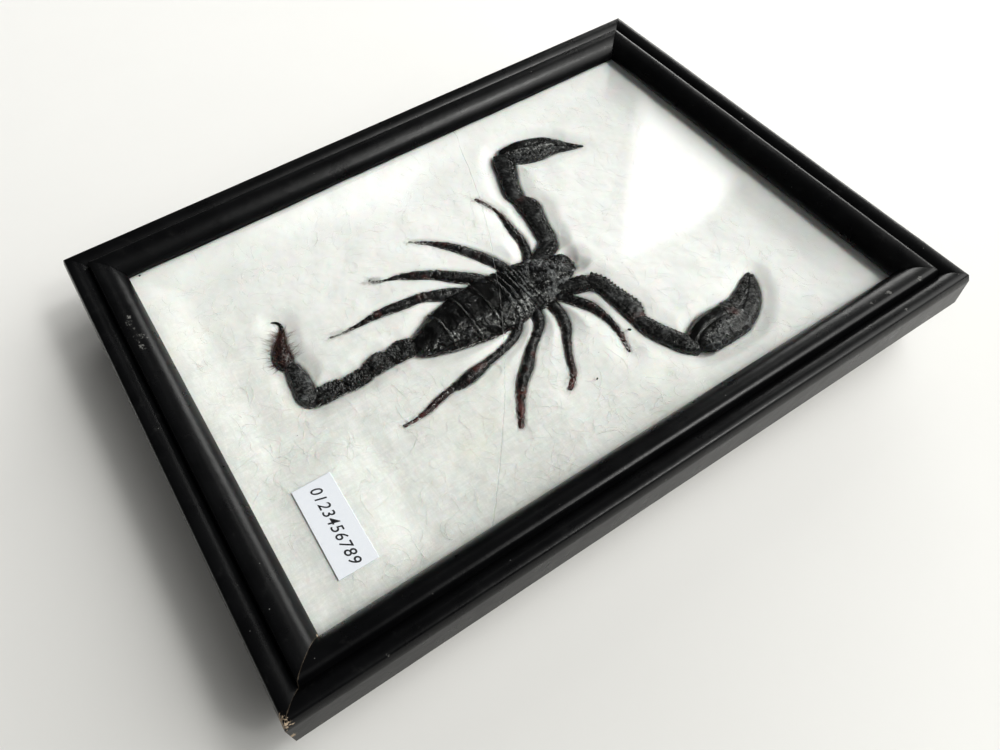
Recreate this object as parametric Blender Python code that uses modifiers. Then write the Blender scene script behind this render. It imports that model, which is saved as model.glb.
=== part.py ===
"""A dried scorpion on a bed of cotton wool, in a small wooden box behind a cracked pane of glass.

Metres, +Z up. The box lies on its back: X is its long side, Y its short side, and the origin is
the middle of its underside. The tail points to -X and the claws to +X.
"""

import math

import bmesh
import bpy
from mathutils import Matrix, Vector
from mathutils.noise import noise

OBJECT_NAME = "framed_scorpion"

# Box and frame
FRAME_LENGTH = 0.2033
FRAME_DEPTH = 0.1520
UNDERSIDE = 0.0150
ARRIS = 0.0241
LIP_UNDERSIDE = 0.0222
RAIL_WIDTH = 0.0139
REBATE = 0.0016
GAP = 0.0003
# The moulding's curves: centre (in from the outside, up), radius, first and last angle, steps
BEAD_SHOULDER = ((0.00145, 0.02560), 0.00098, 155, 100, 2)
BEAD_TOP = ((0.00200, 0.02205), 0.00460, 95, 33, 5)
OVOLO_SHOULDER = ((0.00705, 0.02630), 0.00085, 165, 105, 2)
OVOLO_TOP = ((0.00760, 0.02073), 0.00657, 94, 16.5, 7)

BOARD_SET_IN = 0.0060
BOARD_THICKNESS = RAIL_WIDTH - REBATE - BOARD_SET_IN
BACK_THICKNESS = 0.0030
EDGE_BEVEL = 0.0004

# Glass, label and cotton
GLASS_THICKNESS = 0.0020
CARD_THICKNESS = 0.0003
LABEL_SIZE = (0.0102, 0.0260)
LABEL_AT = (-0.0733, -0.0398)
LABEL_TURN = math.radians(-1.0)
COTTON_LEVEL = 0.0168
COTTON_RIM_LEVEL = 0.0192
COTTON_RIM = 0.0140
COTTON_CELLS = (50, 36)
COTTON_SLOPE = 1.2
COTTON_SHARE_OF_REACH = 0.8
COTTON_UNDER_LIMB = 0.0005
COTTON_SWELL = 0.0004
SWELL_SCALE = 60.0

# The crack runs from the far edge of the glass to the near one: (x, y). It is drawn a little too
# large, so it is scaled and then shifted.
CRACK_SCALE = 0.988
CRACK_SHIFT = (-0.0010, -0.0016)
CRACK = [
    (0.0240, 0.0630),
    (0.0212, 0.0560),
    (0.0183, 0.0463),
    (0.0141, 0.0336),
    (0.0110, 0.0262),
    (0.0068, 0.0164),
    (0.0026, 0.0076),
    (-0.0017, -0.0015),
    (-0.0054, -0.0084),
    (-0.0117, -0.0190),
    (-0.0161, -0.0258),
    (-0.0210, -0.0330),
    (-0.0257, -0.0393),
    (-0.0319, -0.0473),
    (-0.0358, -0.0522),
    (-0.0440, -0.0620),
]

# Scorpion: each row of a limb is (x, y, z, half width, half height). It is drawn a little too large
# and too low, so the whole of it is scaled and then shifted.
SCORPION_SCALE = 0.9725
SCORPION_SHIFT = Vector((-0.0015, -0.0031, 0.0026))
BODY_SIDES = 20
LIMB_SIDES = 8
ARM_SIDES = 10
THICK_LIMB_SIDES = 12
TERGITE_STEP = 0.0004
ABDOMEN = [
    (-0.0305, -0.0020, 0.0126, 0.0032, 0.0026),
    (-0.0275, -0.0020, 0.0128, 0.0049, 0.0033),
    (-0.0240, -0.0018, 0.0130, 0.0064, 0.0037),
    (-0.0212, -0.0016, 0.0131, 0.0076, 0.0039),
    (-0.0170, -0.0015, 0.0131, 0.0087, 0.0040),
    (-0.0134, -0.0014, 0.0131, 0.0095, 0.0041),
    (-0.0095, -0.0014, 0.0130, 0.0101, 0.0041),
    (-0.0056, -0.0014, 0.0130, 0.0103, 0.0041),
    (-0.0010, -0.0014, 0.0130, 0.0102, 0.0040),
    (0.0012, -0.0014, 0.0130, 0.0099, 0.0040),
    (0.0030, -0.0014, 0.0130, 0.0095, 0.0040),
    (0.0052, -0.0014, 0.0130, 0.0090, 0.0039),
]
TERGITE_EDGES = (-0.0212, -0.0134, -0.0056, -0.0010, 0.0012, 0.0030)
CARAPACE = [
    (0.0044, -0.0014, 0.0130, 0.0086, 0.0037),
    (0.0062, -0.0014, 0.0130, 0.0093, 0.0040),
    (0.0100, -0.0014, 0.0130, 0.0091, 0.0040),
    (0.0140, -0.0013, 0.0131, 0.0080, 0.0038),
    (0.0175, -0.0010, 0.0133, 0.0060, 0.0034),
    (0.0202, -0.0007, 0.0135, 0.0049, 0.0030),
    (0.0223, -0.0004, 0.0136, 0.0038, 0.0024),
    (0.0236, -0.0003, 0.0136, 0.0023, 0.0016),
    (0.0241, -0.0003, 0.0136, 0.0009, 0.0007),
]
CHELICERAE = [(0.0202, 0.0016), (0.0202, -0.0026)]
CHELICERA_SIZE = (0.0040, 0.0020, 0.0019)
CHELICERA_HEIGHT = 0.0120

TAIL_KEEL = 0.10
TAIL_SEGMENTS = [
    [
        (-0.0298, -0.0012, 0.0128, 0.0024, 0.0022),
        (-0.0315, -0.0008, 0.0129, 0.0034, 0.0029),
        (-0.0345, -0.0005, 0.0130, 0.0038, 0.0031),
        (-0.0365, -0.0008, 0.0129, 0.0032, 0.0028),
        (-0.0382, -0.0012, 0.0128, 0.0022, 0.0021),
    ],
    [
        (-0.0376, -0.0012, 0.0128, 0.0022, 0.0021),
        (-0.0394, -0.0007, 0.0129, 0.0032, 0.0028),
        (-0.0420, -0.0005, 0.0130, 0.0036, 0.0030),
        (-0.0440, -0.0010, 0.0129, 0.0031, 0.0027),
        (-0.0460, -0.0016, 0.0128, 0.0022, 0.0020),
    ],
    [
        (-0.0452, -0.0018, 0.0128, 0.0021, 0.0020),
        (-0.0470, -0.0019, 0.0129, 0.0027, 0.0026),
        (-0.0495, -0.0019, 0.0129, 0.0029, 0.0028),
        (-0.0513, -0.0021, 0.0129, 0.0026, 0.0026),
        (-0.0530, -0.0023, 0.0128, 0.0020, 0.0020),
    ],
    [
        (-0.0522, -0.0022, 0.0128, 0.0020, 0.0020),
        (-0.0540, -0.0016, 0.0129, 0.0028, 0.0026),
        (-0.0565, -0.0011, 0.0130, 0.0033, 0.0028),
        (-0.0592, -0.0011, 0.0130, 0.0031, 0.0028),
        (-0.0615, -0.0010, 0.0129, 0.0024, 0.0023),
    ],
    [
        (-0.0612, -0.0022, 0.0129, 0.0022, 0.0022),
        (-0.0626, 0.0000, 0.0130, 0.0028, 0.0026),
        (-0.0626, 0.0045, 0.0131, 0.0028, 0.0027),
        (-0.0623, 0.0090, 0.0131, 0.0025, 0.0025),
        (-0.0623, 0.0128, 0.0130, 0.0018, 0.0018),
    ],
]
TELSON = [
    (-0.0623, 0.0118, 0.0130, 0.0015, 0.0015),
    (-0.0631, 0.0145, 0.0131, 0.0025, 0.0024),
    (-0.0629, 0.0175, 0.0132, 0.0025, 0.0024),
    (-0.0618, 0.0205, 0.0132, 0.0019, 0.0019),
    (-0.0603, 0.0230, 0.0132, 0.0011, 0.0011),
    (-0.0591, 0.0256, 0.0133, 0.0007, 0.0007),
    (-0.0587, 0.0276, 0.0134, 0.0005, 0.0005),
    (-0.0594, 0.0290, 0.0135, 0.0004, 0.0004),
    (-0.0606, 0.0298, 0.0136, 0.0002, 0.0002),
]

# Legs: each row is (x, y, z, radius), from the body to the claw
LEGS = [
    [
        (-0.0040, 0.0040, 0.0118, 0.0019),
        (-0.0115, 0.0090, 0.0126, 0.0021),
        (-0.0160, 0.0108, 0.0134, 0.0022),
        (-0.0205, 0.0126, 0.0138, 0.0017),
        (-0.0260, 0.0134, 0.0139, 0.0018),
        (-0.0325, 0.0143, 0.0140, 0.0015),
        (-0.0370, 0.0144, 0.0138, 0.0010),
        (-0.0420, 0.0143, 0.0137, 0.0006),
        (-0.0468, 0.0144, 0.0138, 0.0004),
        (-0.0492, 0.0148, 0.0140, 0.0003),
    ],
    [
        (0.0010, 0.0045, 0.0118, 0.0020),
        (-0.0035, 0.0100, 0.0128, 0.0022),
        (-0.0085, 0.0142, 0.0136, 0.0022),
        (-0.0130, 0.0180, 0.0140, 0.0018),
        (-0.0180, 0.0212, 0.0141, 0.0016),
        (-0.0225, 0.0236, 0.0139, 0.0008),
        (-0.0265, 0.0249, 0.0137, 0.0005),
        (-0.0287, 0.0259, 0.0139, 0.0006),
        (-0.0300, 0.0272, 0.0142, 0.0005),
    ],
    [
        (0.0072, 0.0040, 0.0118, 0.0020),
        (0.0055, 0.0100, 0.0127, 0.0019),
        (0.0020, 0.0172, 0.0136, 0.0019),
        (-0.0010, 0.0220, 0.0141, 0.0016),
        (-0.0040, 0.0260, 0.0141, 0.0014),
        (-0.0070, 0.0294, 0.0139, 0.0009),
        (-0.0097, 0.0318, 0.0138, 0.0006),
        (-0.0124, 0.0340, 0.0141, 0.0004),
    ],
    [
        (0.0115, 0.0040, 0.0118, 0.0019),
        (0.0150, 0.0095, 0.0127, 0.0015),
        (0.0163, 0.0145, 0.0134, 0.0014),
        (0.0164, 0.0200, 0.0139, 0.0012),
        (0.0170, 0.0260, 0.0139, 0.0008),
        (0.0170, 0.0300, 0.0136, 0.0005),
        (0.0160, 0.0336, 0.0138, 0.0006),
        (0.0142, 0.0377, 0.0143, 0.0006),
    ],
    [
        (0.0000, -0.0080, 0.0116, 0.0018),
        (-0.0050, -0.0138, 0.0122, 0.0014),
        (-0.0110, -0.0163, 0.0129, 0.0012),
        (-0.0170, -0.0177, 0.0136, 0.0014),
        (-0.0215, -0.0187, 0.0139, 0.0020),
        (-0.0262, -0.0196, 0.0139, 0.0018),
        (-0.0290, -0.0196, 0.0138, 0.0011),
        (-0.0335, -0.0204, 0.0139, 0.0011),
        (-0.0390, -0.0219, 0.0138, 0.0009),
        (-0.0430, -0.0224, 0.0137, 0.0005),
        (-0.0462, -0.0224, 0.0138, 0.0006),
    ],
    [
        (0.0050, -0.0085, 0.0116, 0.0020),
        (0.0028, -0.0145, 0.0123, 0.0016),
        (-0.0010, -0.0180, 0.0130, 0.0013),
        (-0.0050, -0.0213, 0.0136, 0.0015),
        (-0.0090, -0.0254, 0.0140, 0.0018),
        (-0.0128, -0.0286, 0.0140, 0.0016),
        (-0.0160, -0.0326, 0.0139, 0.0011),
        (-0.0190, -0.0370, 0.0139, 0.0010),
        (-0.0213, -0.0405, 0.0140, 0.0006),
    ],
    [
        (0.0100, -0.0085, 0.0116, 0.0020),
        (0.0096, -0.0155, 0.0124, 0.0017),
        (0.0080, -0.0202, 0.0132, 0.0015),
        (0.0050, -0.0248, 0.0139, 0.0011),
        (0.0020, -0.0300, 0.0140, 0.0010),
        (0.0002, -0.0340, 0.0139, 0.0008),
        (-0.0015, -0.0360, 0.0138, 0.0008),
        (-0.0040, -0.0380, 0.0139, 0.0006),
    ],
    [
        (0.0130, -0.0080, 0.0116, 0.0020),
        (0.0160, -0.0138, 0.0124, 0.0018),
        (0.0180, -0.0180, 0.0132, 0.0017),
        (0.0190, -0.0232, 0.0139, 0.0012),
        (0.0190, -0.0282, 0.0140, 0.0009),
        (0.0185, -0.0320, 0.0138, 0.0007),
        (0.0176, -0.0350, 0.0137, 0.0006),
        (0.0170, -0.0373, 0.0138, 0.0004),
    ],
]

# Claw arms: each row is (x, y, z, half width, half height), from the body outwards
FAR_ARM = [
    [
        (0.0120, 0.0030, 0.0122, 0.0030, 0.0026),
        (0.0185, 0.0062, 0.0125, 0.0027, 0.0026),
        (0.0225, 0.0085, 0.0128, 0.0027, 0.0026),
        (0.0238, 0.0104, 0.0130, 0.0020, 0.0020),
    ],
    [
        (0.0228, 0.0080, 0.0130, 0.0020, 0.0020),
        (0.0236, 0.0108, 0.0131, 0.0027, 0.0025),
        (0.0246, 0.0158, 0.0132, 0.0027, 0.0027),
        (0.0259, 0.0212, 0.0133, 0.0031, 0.0028),
        (0.0266, 0.0254, 0.0133, 0.0035, 0.0028),
        (0.0262, 0.0284, 0.0132, 0.0025, 0.0024),
        (0.0259, 0.0302, 0.0131, 0.0018, 0.0018),
    ],
    [
        (0.0260, 0.0288, 0.0131, 0.0020, 0.0020),
        (0.0259, 0.0318, 0.0132, 0.0028, 0.0026),
        (0.0272, 0.0365, 0.0133, 0.0029, 0.0029),
        (0.0296, 0.0420, 0.0133, 0.0032, 0.0030),
        (0.0316, 0.0470, 0.0133, 0.0036, 0.0029),
        (0.0328, 0.0503, 0.0132, 0.0028, 0.0023),
    ],
]
FAR_HAND = [
    (0.0318, 0.0503, 0.0131, 0.0022, 0.0020),
    (0.0345, 0.0493, 0.0132, 0.0038, 0.0029),
    (0.0385, 0.0479, 0.0132, 0.0052, 0.0034),
    (0.0430, 0.0465, 0.0132, 0.0055, 0.0034),
    (0.0470, 0.0454, 0.0132, 0.0046, 0.0030),
    (0.0500, 0.0438, 0.0132, 0.0031, 0.0024),
]
FAR_FINGERS = [
    [
        (0.0468, 0.0468, 0.0134, 0.0030, 0.0022),
        (0.0505, 0.0446, 0.0135, 0.0021, 0.0018),
        (0.0532, 0.0419, 0.0136, 0.0013, 0.0013),
        (0.0555, 0.0396, 0.0138, 0.0008, 0.0008),
        (0.0575, 0.0378, 0.0140, 0.0003, 0.0003),
    ],
    [
        (0.0466, 0.0440, 0.0129, 0.0028, 0.0020),
        (0.0502, 0.0424, 0.0130, 0.0019, 0.0016),
        (0.0532, 0.0404, 0.0132, 0.0011, 0.0011),
        (0.0556, 0.0387, 0.0135, 0.0004, 0.0004),
    ],
]
NEAR_ARM = [
    [
        (0.0120, -0.0060, 0.0122, 0.0030, 0.0026),
        (0.0180, -0.0088, 0.0125, 0.0027, 0.0026),
        (0.0222, -0.0102, 0.0128, 0.0028, 0.0026),
        (0.0243, -0.0118, 0.0130, 0.0020, 0.0020),
    ],
    [
        (0.0236, -0.0092, 0.0134, 0.0021, 0.0019),
        (0.0248, -0.0122, 0.0137, 0.0026, 0.0023),
        (0.0256, -0.0168, 0.0138, 0.0026, 0.0024),
        (0.0263, -0.0218, 0.0138, 0.0030, 0.0024),
        (0.0267, -0.0252, 0.0138, 0.0033, 0.0024),
        (0.0262, -0.0283, 0.0136, 0.0026, 0.0021),
        (0.0258, -0.0306, 0.0135, 0.0018, 0.0017),
    ],
    [
        (0.0259, -0.0290, 0.0135, 0.0019, 0.0018),
        (0.0262, -0.0320, 0.0136, 0.0025, 0.0022),
        (0.0274, -0.0362, 0.0136, 0.0028, 0.0024),
        (0.0293, -0.0406, 0.0136, 0.0029, 0.0025),
        (0.0315, -0.0448, 0.0136, 0.0029, 0.0025),
        (0.0342, -0.0473, 0.0134, 0.0021, 0.0020),
    ],
]
NEAR_HAND = [
    (0.0325, -0.0474, 0.0130, 0.0020, 0.0020),
    (0.0348, -0.0462, 0.0131, 0.0042, 0.0032),
    (0.0385, -0.0450, 0.0132, 0.0056, 0.0037),
    (0.0435, -0.0446, 0.0132, 0.0060, 0.0038),
    (0.0485, -0.0446, 0.0132, 0.0056, 0.0035),
    (0.0515, -0.0440, 0.0132, 0.0048, 0.0030),
]
NEAR_FINGERS = [
    [
        (0.0480, -0.0416, 0.0134, 0.0030, 0.0024),
        (0.0525, -0.0412, 0.0134, 0.0026, 0.0021),
        (0.0565, -0.0392, 0.0134, 0.0021, 0.0017),
        (0.0600, -0.0366, 0.0134, 0.0013, 0.0011),
        (0.0634, -0.0348, 0.0134, 0.0004, 0.0004),
    ],
    [
        (0.0480, -0.0470, 0.0129, 0.0034, 0.0025),
        (0.0530, -0.0454, 0.0129, 0.0030, 0.0023),
        (0.0575, -0.0423, 0.0130, 0.0026, 0.0019),
        (0.0610, -0.0388, 0.0131, 0.0018, 0.0014),
        (0.0636, -0.0356, 0.0132, 0.0006, 0.0006),
    ],
]
# Spurs stand along the arm's upper outer corner, at these shares of its half width and half height
SPUR_SPACING = 0.0018
SPUR_HEIGHT = 0.0010
SPUR_SUNK = 0.0003
SPUR_RADIUS = 0.0005
SPUR_TIP_RADIUS = 0.0001
SPUR_SIDES = 5
SPUR_CORNER = (0.72, 0.50)
SPUR_LEAN = 0.7

COARSE_CREASE = math.radians(60)
LIMB_CREASE = math.radians(50)
MOULDING_CREASE = math.radians(40)
FINE_WELD = 1e-6


def empty_scene():
    for obj in list(bpy.data.objects):
        bpy.data.objects.remove(obj, do_unlink=True)


def new_collection(name, shown=True):
    collection = bpy.data.collections.new(name)
    bpy.context.scene.collection.children.link(collection)
    collection.hide_render = not shown
    return collection


def principled(name, colour, roughness, **sockets):
    """A Principled material. Other sockets are given by name, with _ for a space."""
    material = bpy.data.materials.new(name)
    material.use_nodes = True
    shader = material.node_tree.nodes["Principled BSDF"]
    shader.inputs["Base Color"].default_value = (*colour, 1.0)
    shader.inputs["Roughness"].default_value = roughness
    for socket, value in sockets.items():
        shader.inputs[socket.replace("_", " ")].default_value = value
    return material


def mesh_of(bm, name):
    bmesh.ops.recalc_face_normals(bm, faces=bm.faces)
    mesh = bpy.data.meshes.new(name)
    bm.to_mesh(mesh)
    bm.free()
    return mesh


def place(name, mesh, material, collection, location=(0, 0, 0)):
    obj = bpy.data.objects.new(name, mesh)
    obj.location = location
    if not mesh.materials:
        mesh.materials.append(material)
    collection.objects.link(obj)
    return obj


def arc(centre, radius, start, end, steps):
    """Points on a circle, from one angle to the other, in degrees."""
    angles = [math.radians(start + (end - start) * i / steps) for i in range(steps + 1)]
    return [(centre[0] + radius * math.cos(a), centre[1] + radius * math.sin(a)) for a in angles]


def rail_profile():
    """Section of the moulding as (distance in from the outside, height)."""
    rebate_wall = RAIL_WIDTH - REBATE
    return [
        (0.0, UNDERSIDE),
        (0.0, ARRIS),
        *arc(*BEAD_SHOULDER),
        *arc(*BEAD_TOP),
        *arc(*OVOLO_SHOULDER),
        *arc(*OVOLO_TOP),
        (RAIL_WIDTH, LIP_UNDERSIDE),
        (rebate_wall, LIP_UNDERSIDE),
        (rebate_wall, UNDERSIDE),
    ]


def mitred_rail(length, depth):
    """A rail along X whose outer side is at -Y: a swept section, with both ends slid to 45 degrees."""
    bm = bmesh.new()
    section = [bm.verts.new((-length / 2, u - depth / 2, z)) for u, z in rail_profile()]
    swept = bmesh.ops.extrude_face_region(bm, geom=[bm.faces.new(section)])
    far_end = [v for v in swept["geom"] if isinstance(v, bmesh.types.BMVert)]
    bmesh.ops.translate(bm, verts=far_end, vec=(length, 0, 0))
    for vert in bm.verts:
        inset = vert.co.y + depth / 2 + GAP / 2
        vert.co.x -= math.copysign(inset, vert.co.x)
    return mesh_of(bm, "moulding")


def add_rails(collection, paint):
    sides = [
        ("rail_front", 0, FRAME_LENGTH, FRAME_DEPTH),
        ("rail_right", 90, FRAME_DEPTH, FRAME_LENGTH),
        ("rail_back", 180, FRAME_LENGTH, FRAME_DEPTH),
        ("rail_left", 270, FRAME_DEPTH, FRAME_LENGTH),
    ]
    for name, turn, length, depth in sides:
        mesh = mitred_rail(length, depth)
        mesh.shade_smooth()
        mesh.set_sharp_from_angle(angle=MOULDING_CREASE)
        rail = place(name, mesh, paint, collection)
        rail.rotation_euler.z = math.radians(turn)


def slab(name, size, centre, material, collection):
    """A board of that size with softened edges."""
    bm = bmesh.new()
    bmesh.ops.create_cube(bm, size=1.0, matrix=Matrix.Diagonal((*size, 1.0)))
    board = place(name, mesh_of(bm, name), material, collection, centre)
    bevel = board.modifiers.new("soft_edges", "BEVEL")
    bevel.width = min(EDGE_BEVEL, min(size) / 4)
    bevel.segments = 1
    return board


def inside_size():
    """Length and depth of the space inside the box's boards."""
    set_in = 2 * (BOARD_SET_IN + BOARD_THICKNESS)
    return FRAME_LENGTH - set_in, FRAME_DEPTH - set_in


def add_box(collection, wood, board_back):
    length, depth = inside_size()
    height = UNDERSIDE - GAP
    across = (length + 2 * BOARD_THICKNESS, BOARD_THICKNESS, height)
    along = (BOARD_THICKNESS, depth - 2 * GAP, height)
    y = (depth + BOARD_THICKNESS) / 2
    x = (length + BOARD_THICKNESS) / 2
    slab("box_side_front", across, (0, -y, height / 2), wood, collection)
    slab("box_side_back", across, (0, y, height / 2), wood, collection)
    slab("box_side_left", along, (-x, 0, height / 2), wood, collection)
    slab("box_side_right", along, (x, 0, height / 2), wood, collection)
    back = (length - 2 * GAP, depth - 2 * GAP, BACK_THICKNESS)
    slab("backing_board", back, (0, 0, BACK_THICKNESS / 2), board_back, collection)


def mesh_from_curve(curve_object, name):
    """The curve's evaluated shape as a mesh with its caps welded; the curve itself is removed."""
    bpy.context.view_layer.update()
    graph = bpy.context.evaluated_depsgraph_get()
    mesh = bpy.data.meshes.new_from_object(curve_object.evaluated_get(graph))
    mesh.transform(curve_object.matrix_world)
    bpy.data.objects.remove(curve_object, do_unlink=True)
    bm = bmesh.new()
    bm.from_mesh(mesh)
    bpy.data.meshes.remove(mesh)
    bmesh.ops.remove_doubles(bm, verts=bm.verts, dist=FINE_WELD)
    return mesh_of(bm, name)


def flat_plate(name, outline, thickness):
    """A mesh plate cut to an outline of (x, y) points, lying across z = 0."""
    curve = bpy.data.curves.new(name, "CURVE")
    curve.dimensions = "2D"
    curve.fill_mode = "BOTH"
    curve.extrude = thickness / 2
    spline = curve.splines.new("POLY")
    spline.points.add(len(outline) - 1)
    for point, (x, y) in zip(spline.points, outline):
        point.co = (x, y, 0, 1)
    spline.use_cyclic_u = True
    obj = bpy.data.objects.new(name, curve)
    bpy.context.scene.collection.objects.link(obj)
    return mesh_from_curve(obj, name)


def add_glass(collection, glass):
    """The pane in its two pieces, which meet along the crack."""
    half_length = FRAME_LENGTH / 2 - (RAIL_WIDTH - REBATE) - GAP
    half_depth = FRAME_DEPTH / 2 - (RAIL_WIDTH - REBATE) - GAP
    crack = [Vector(point) * CRACK_SCALE + Vector(CRACK_SHIFT) for point in CRACK]
    crack[0].y = half_depth
    crack[-1].y = -half_depth
    height = LIP_UNDERSIDE - GAP - GLASS_THICKNESS / 2
    for name, side in (("glass_left", -1), ("glass_right", 1)):
        edge = [(x + side * GAP / 2, y) for x, y in crack]
        outline = [*edge, (side * half_length, -half_depth), (side * half_length, half_depth)]
        place(name, flat_plate(name, outline, GLASS_THICKNESS), glass, collection, (0, 0, height))


def add_label(collection, paper):
    """A small card that lies just under the glass."""
    glass_underside = LIP_UNDERSIDE - GAP - GLASS_THICKNESS
    height = glass_underside - GAP - CARD_THICKNESS / 2
    label = slab("label", (*LABEL_SIZE, CARD_THICKNESS), (*LABEL_AT, height), paper, collection)
    label.rotation_euler.z = LABEL_TURN


def loft(rows, sides, keel=0.0):
    """A closed limb through rows of (x, y, z, half width, half height). Its rings stand upright
    across its course, and keel squares them off, as the ridges on a tail do."""
    bm = bmesh.new()
    centres = [Vector(row[:3]) for row in rows]
    rings = []
    for i, row in enumerate(rows):
        along = centres[min(i + 1, len(rows) - 1)] - centres[max(i - 1, 0)]
        across = Vector((-along.y, along.x, 0)).normalized()
        ring = []
        for k in range(sides):
            angle = 2 * math.pi * (k + 0.5) / sides
            swell = 1 - keel * math.cos(4 * angle)
            side = across * (row[3] * swell * math.cos(angle))
            up = Vector((0, 0, row[4] * swell * math.sin(angle)))
            ring.append(bm.verts.new(centres[i] + side + up))
        rings.append(ring)
    for near, far in zip(rings, rings[1:]):
        for k in range(sides):
            j = (k + 1) % sides
            bm.faces.new((near[k], near[j], far[j], far[k]))
    bm.faces.new(rings[0])
    bm.faces.new(rings[-1])
    return mesh_of(bm, "limb")


def stepped_abdomen():
    """The abdomen's rows, with each back plate standing a little over the one behind it."""
    rows = []
    for x, y, z, width, height in ABDOMEN:
        if x in TERGITE_EDGES:
            rows.append((x - TERGITE_STEP, y, z, width - TERGITE_STEP, height - TERGITE_STEP))
            rows.append((x, y, z, width + TERGITE_STEP / 2, height + TERGITE_STEP / 2))
        else:
            rows.append((x, y, z, width, height))
    return rows


def leg_mesh(rows):
    """A leg is a tube whose radius changes at every joint."""
    curve = bpy.data.curves.new("leg", "CURVE")
    curve.dimensions = "3D"
    curve.bevel_depth = 1.0
    curve.bevel_resolution = 1
    curve.use_fill_caps = True
    spline = curve.splines.new("POLY")
    spline.points.add(len(rows) - 1)
    for point, (x, y, z, radius) in zip(spline.points, rows):
        point.co = (x, y, z, 1)
        point.radius = radius
    obj = bpy.data.objects.new("leg", curve)
    bpy.context.scene.collection.objects.link(obj)
    return mesh_from_curve(obj, "leg")


def ellipsoid(centre, radii, turn=0.0):
    bm = bmesh.new()
    matrix = Matrix.Translation(centre) @ Matrix.Rotation(turn, 4, "Z") @ Matrix.Diagonal((*radii, 1.0))
    bmesh.ops.create_uvsphere(bm, u_segments=10, v_segments=6, radius=1.0, matrix=matrix)
    return mesh_of(bm, "lobe")


def spurs(rows, side):
    """Short cones along the upper corner of an arm, one every few millimetres."""
    meshes = []
    for start, end in zip(rows[1:-2], rows[2:-1]):
        a, b = Vector(start[:3]), Vector(end[:3])
        along = (b - a).normalized()
        outward = Vector((along.y, -along.x, 0)) * side
        lean = (outward + Vector((0, 0, SPUR_LEAN))).normalized()
        count = max(1, int((b - a).length / SPUR_SPACING))
        for k in range(count):
            share = (k + 0.5) / count
            width = start[3] + (end[3] - start[3]) * share
            corner = outward * width * SPUR_CORNER[0] + Vector((0, 0, start[4] * SPUR_CORNER[1]))
            middle = a.lerp(b, share) + corner + lean * (SPUR_HEIGHT / 2 - SPUR_SUNK)
            turn = lean.to_track_quat("Z", "Y").to_matrix().to_4x4()
            bm = bmesh.new()
            bmesh.ops.create_cone(
                bm,
                cap_ends=True,
                segments=SPUR_SIDES,
                radius1=SPUR_RADIUS,
                radius2=SPUR_TIP_RADIUS,
                depth=SPUR_HEIGHT,
                matrix=Matrix.Translation(middle) @ turn,
            )
            meshes.append(mesh_of(bm, "spur"))
    return meshes


def scorpion_shapes():
    """Every plate, joint and limb of the scorpion as a closed mesh, each overlapping what it grows from."""
    shapes = [loft(stepped_abdomen(), BODY_SIDES), loft(CARAPACE, BODY_SIDES)]
    shapes += [ellipsoid((x, y, CHELICERA_HEIGHT), CHELICERA_SIZE) for x, y in CHELICERAE]
    shapes += [loft(rows, THICK_LIMB_SIDES, TAIL_KEEL) for rows in TAIL_SEGMENTS]
    shapes += [loft(TELSON, LIMB_SIDES)]
    shapes += [leg_mesh(rows) for rows in LEGS]
    for arm in (FAR_ARM, NEAR_ARM):
        shapes += [loft(rows, ARM_SIDES) for rows in arm]
    shapes += [loft(FAR_HAND, THICK_LIMB_SIDES), loft(NEAR_HAND, THICK_LIMB_SIDES)]
    shapes += [loft(rows, LIMB_SIDES) for rows in FAR_FINGERS + NEAR_FINGERS]
    shapes += spurs(FAR_ARM[1], 1) + spurs(NEAR_ARM[1], -1)
    return shapes


def add_scorpion(collection, joined, shell):
    """The whole animal as one solid: its first shape, with a Boolean union of all the others."""
    shapes = scorpion_shapes()
    whole = place("scorpion_joining", shapes[0], shell, bpy.context.scene.collection)
    for mesh in shapes[1:]:
        piece = place("scorpion_shape", mesh, shell, joined)
        piece.hide_render = True
        piece.display_type = "WIRE"
    union = whole.modifiers.new("grown_together", "BOOLEAN")
    union.operation = "UNION"
    union.solver = "EXACT"
    union.operand_type = "COLLECTION"
    union.collection = joined
    mesh = mesh_from_curve(whole, "scorpion")
    mesh.transform(Matrix.Translation(SCORPION_SHIFT) @ Matrix.Scale(SCORPION_SCALE, 4))
    for piece in list(joined.objects):
        bpy.data.objects.remove(piece, do_unlink=True)
    mesh.shade_smooth()
    mesh.set_sharp_from_angle(angle=LIMB_CREASE)
    return place("scorpion", mesh, shell, collection)


def limb_footprints():
    """(x, y, lowest point, reach) every couple of millimetres along each limb of the scorpion."""
    rows = [ABDOMEN, CARAPACE, *TAIL_SEGMENTS, TELSON, *FAR_ARM, *NEAR_ARM]
    rows += [FAR_HAND, NEAR_HAND, *FAR_FINGERS, *NEAR_FINGERS]
    rows += [[(x, y, z, r, r) for x, y, z, r in leg] for leg in LEGS]
    marks = []
    for limb in rows:
        for start, end in zip(limb, limb[1:]):
            for share in (0.0, 0.5, 1.0):
                x, y, z, width, height = (a + (b - a) * share for a, b in zip(start, end))
                under = Vector((x, y, z - height)) * SCORPION_SCALE + SCORPION_SHIFT
                marks.append((*under, width * SCORPION_SCALE))
    return marks


def cotton_height(x, y, marks, half, cell):
    """Top of the cotton: nearly up to the glass at the rim, and pressed down round the scorpion."""
    from_rim = min(half[0] - abs(x), half[1] - abs(y))
    share = min(1.0, max(0.0, from_rim / COTTON_RIM))
    level = COTTON_RIM_LEVEL + (COTTON_LEVEL - COTTON_RIM_LEVEL) * share
    level += COTTON_SWELL * noise(Vector((x, y, 0)) * SWELL_SCALE)
    for mx, my, bottom, reach in marks:
        away = math.hypot(x - mx, y - my) - reach * COTTON_SHARE_OF_REACH - cell
        hollow = bottom - COTTON_UNDER_LIMB + COTTON_SLOPE * max(0.0, away)
        level = min(level, hollow)
    return level


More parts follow.
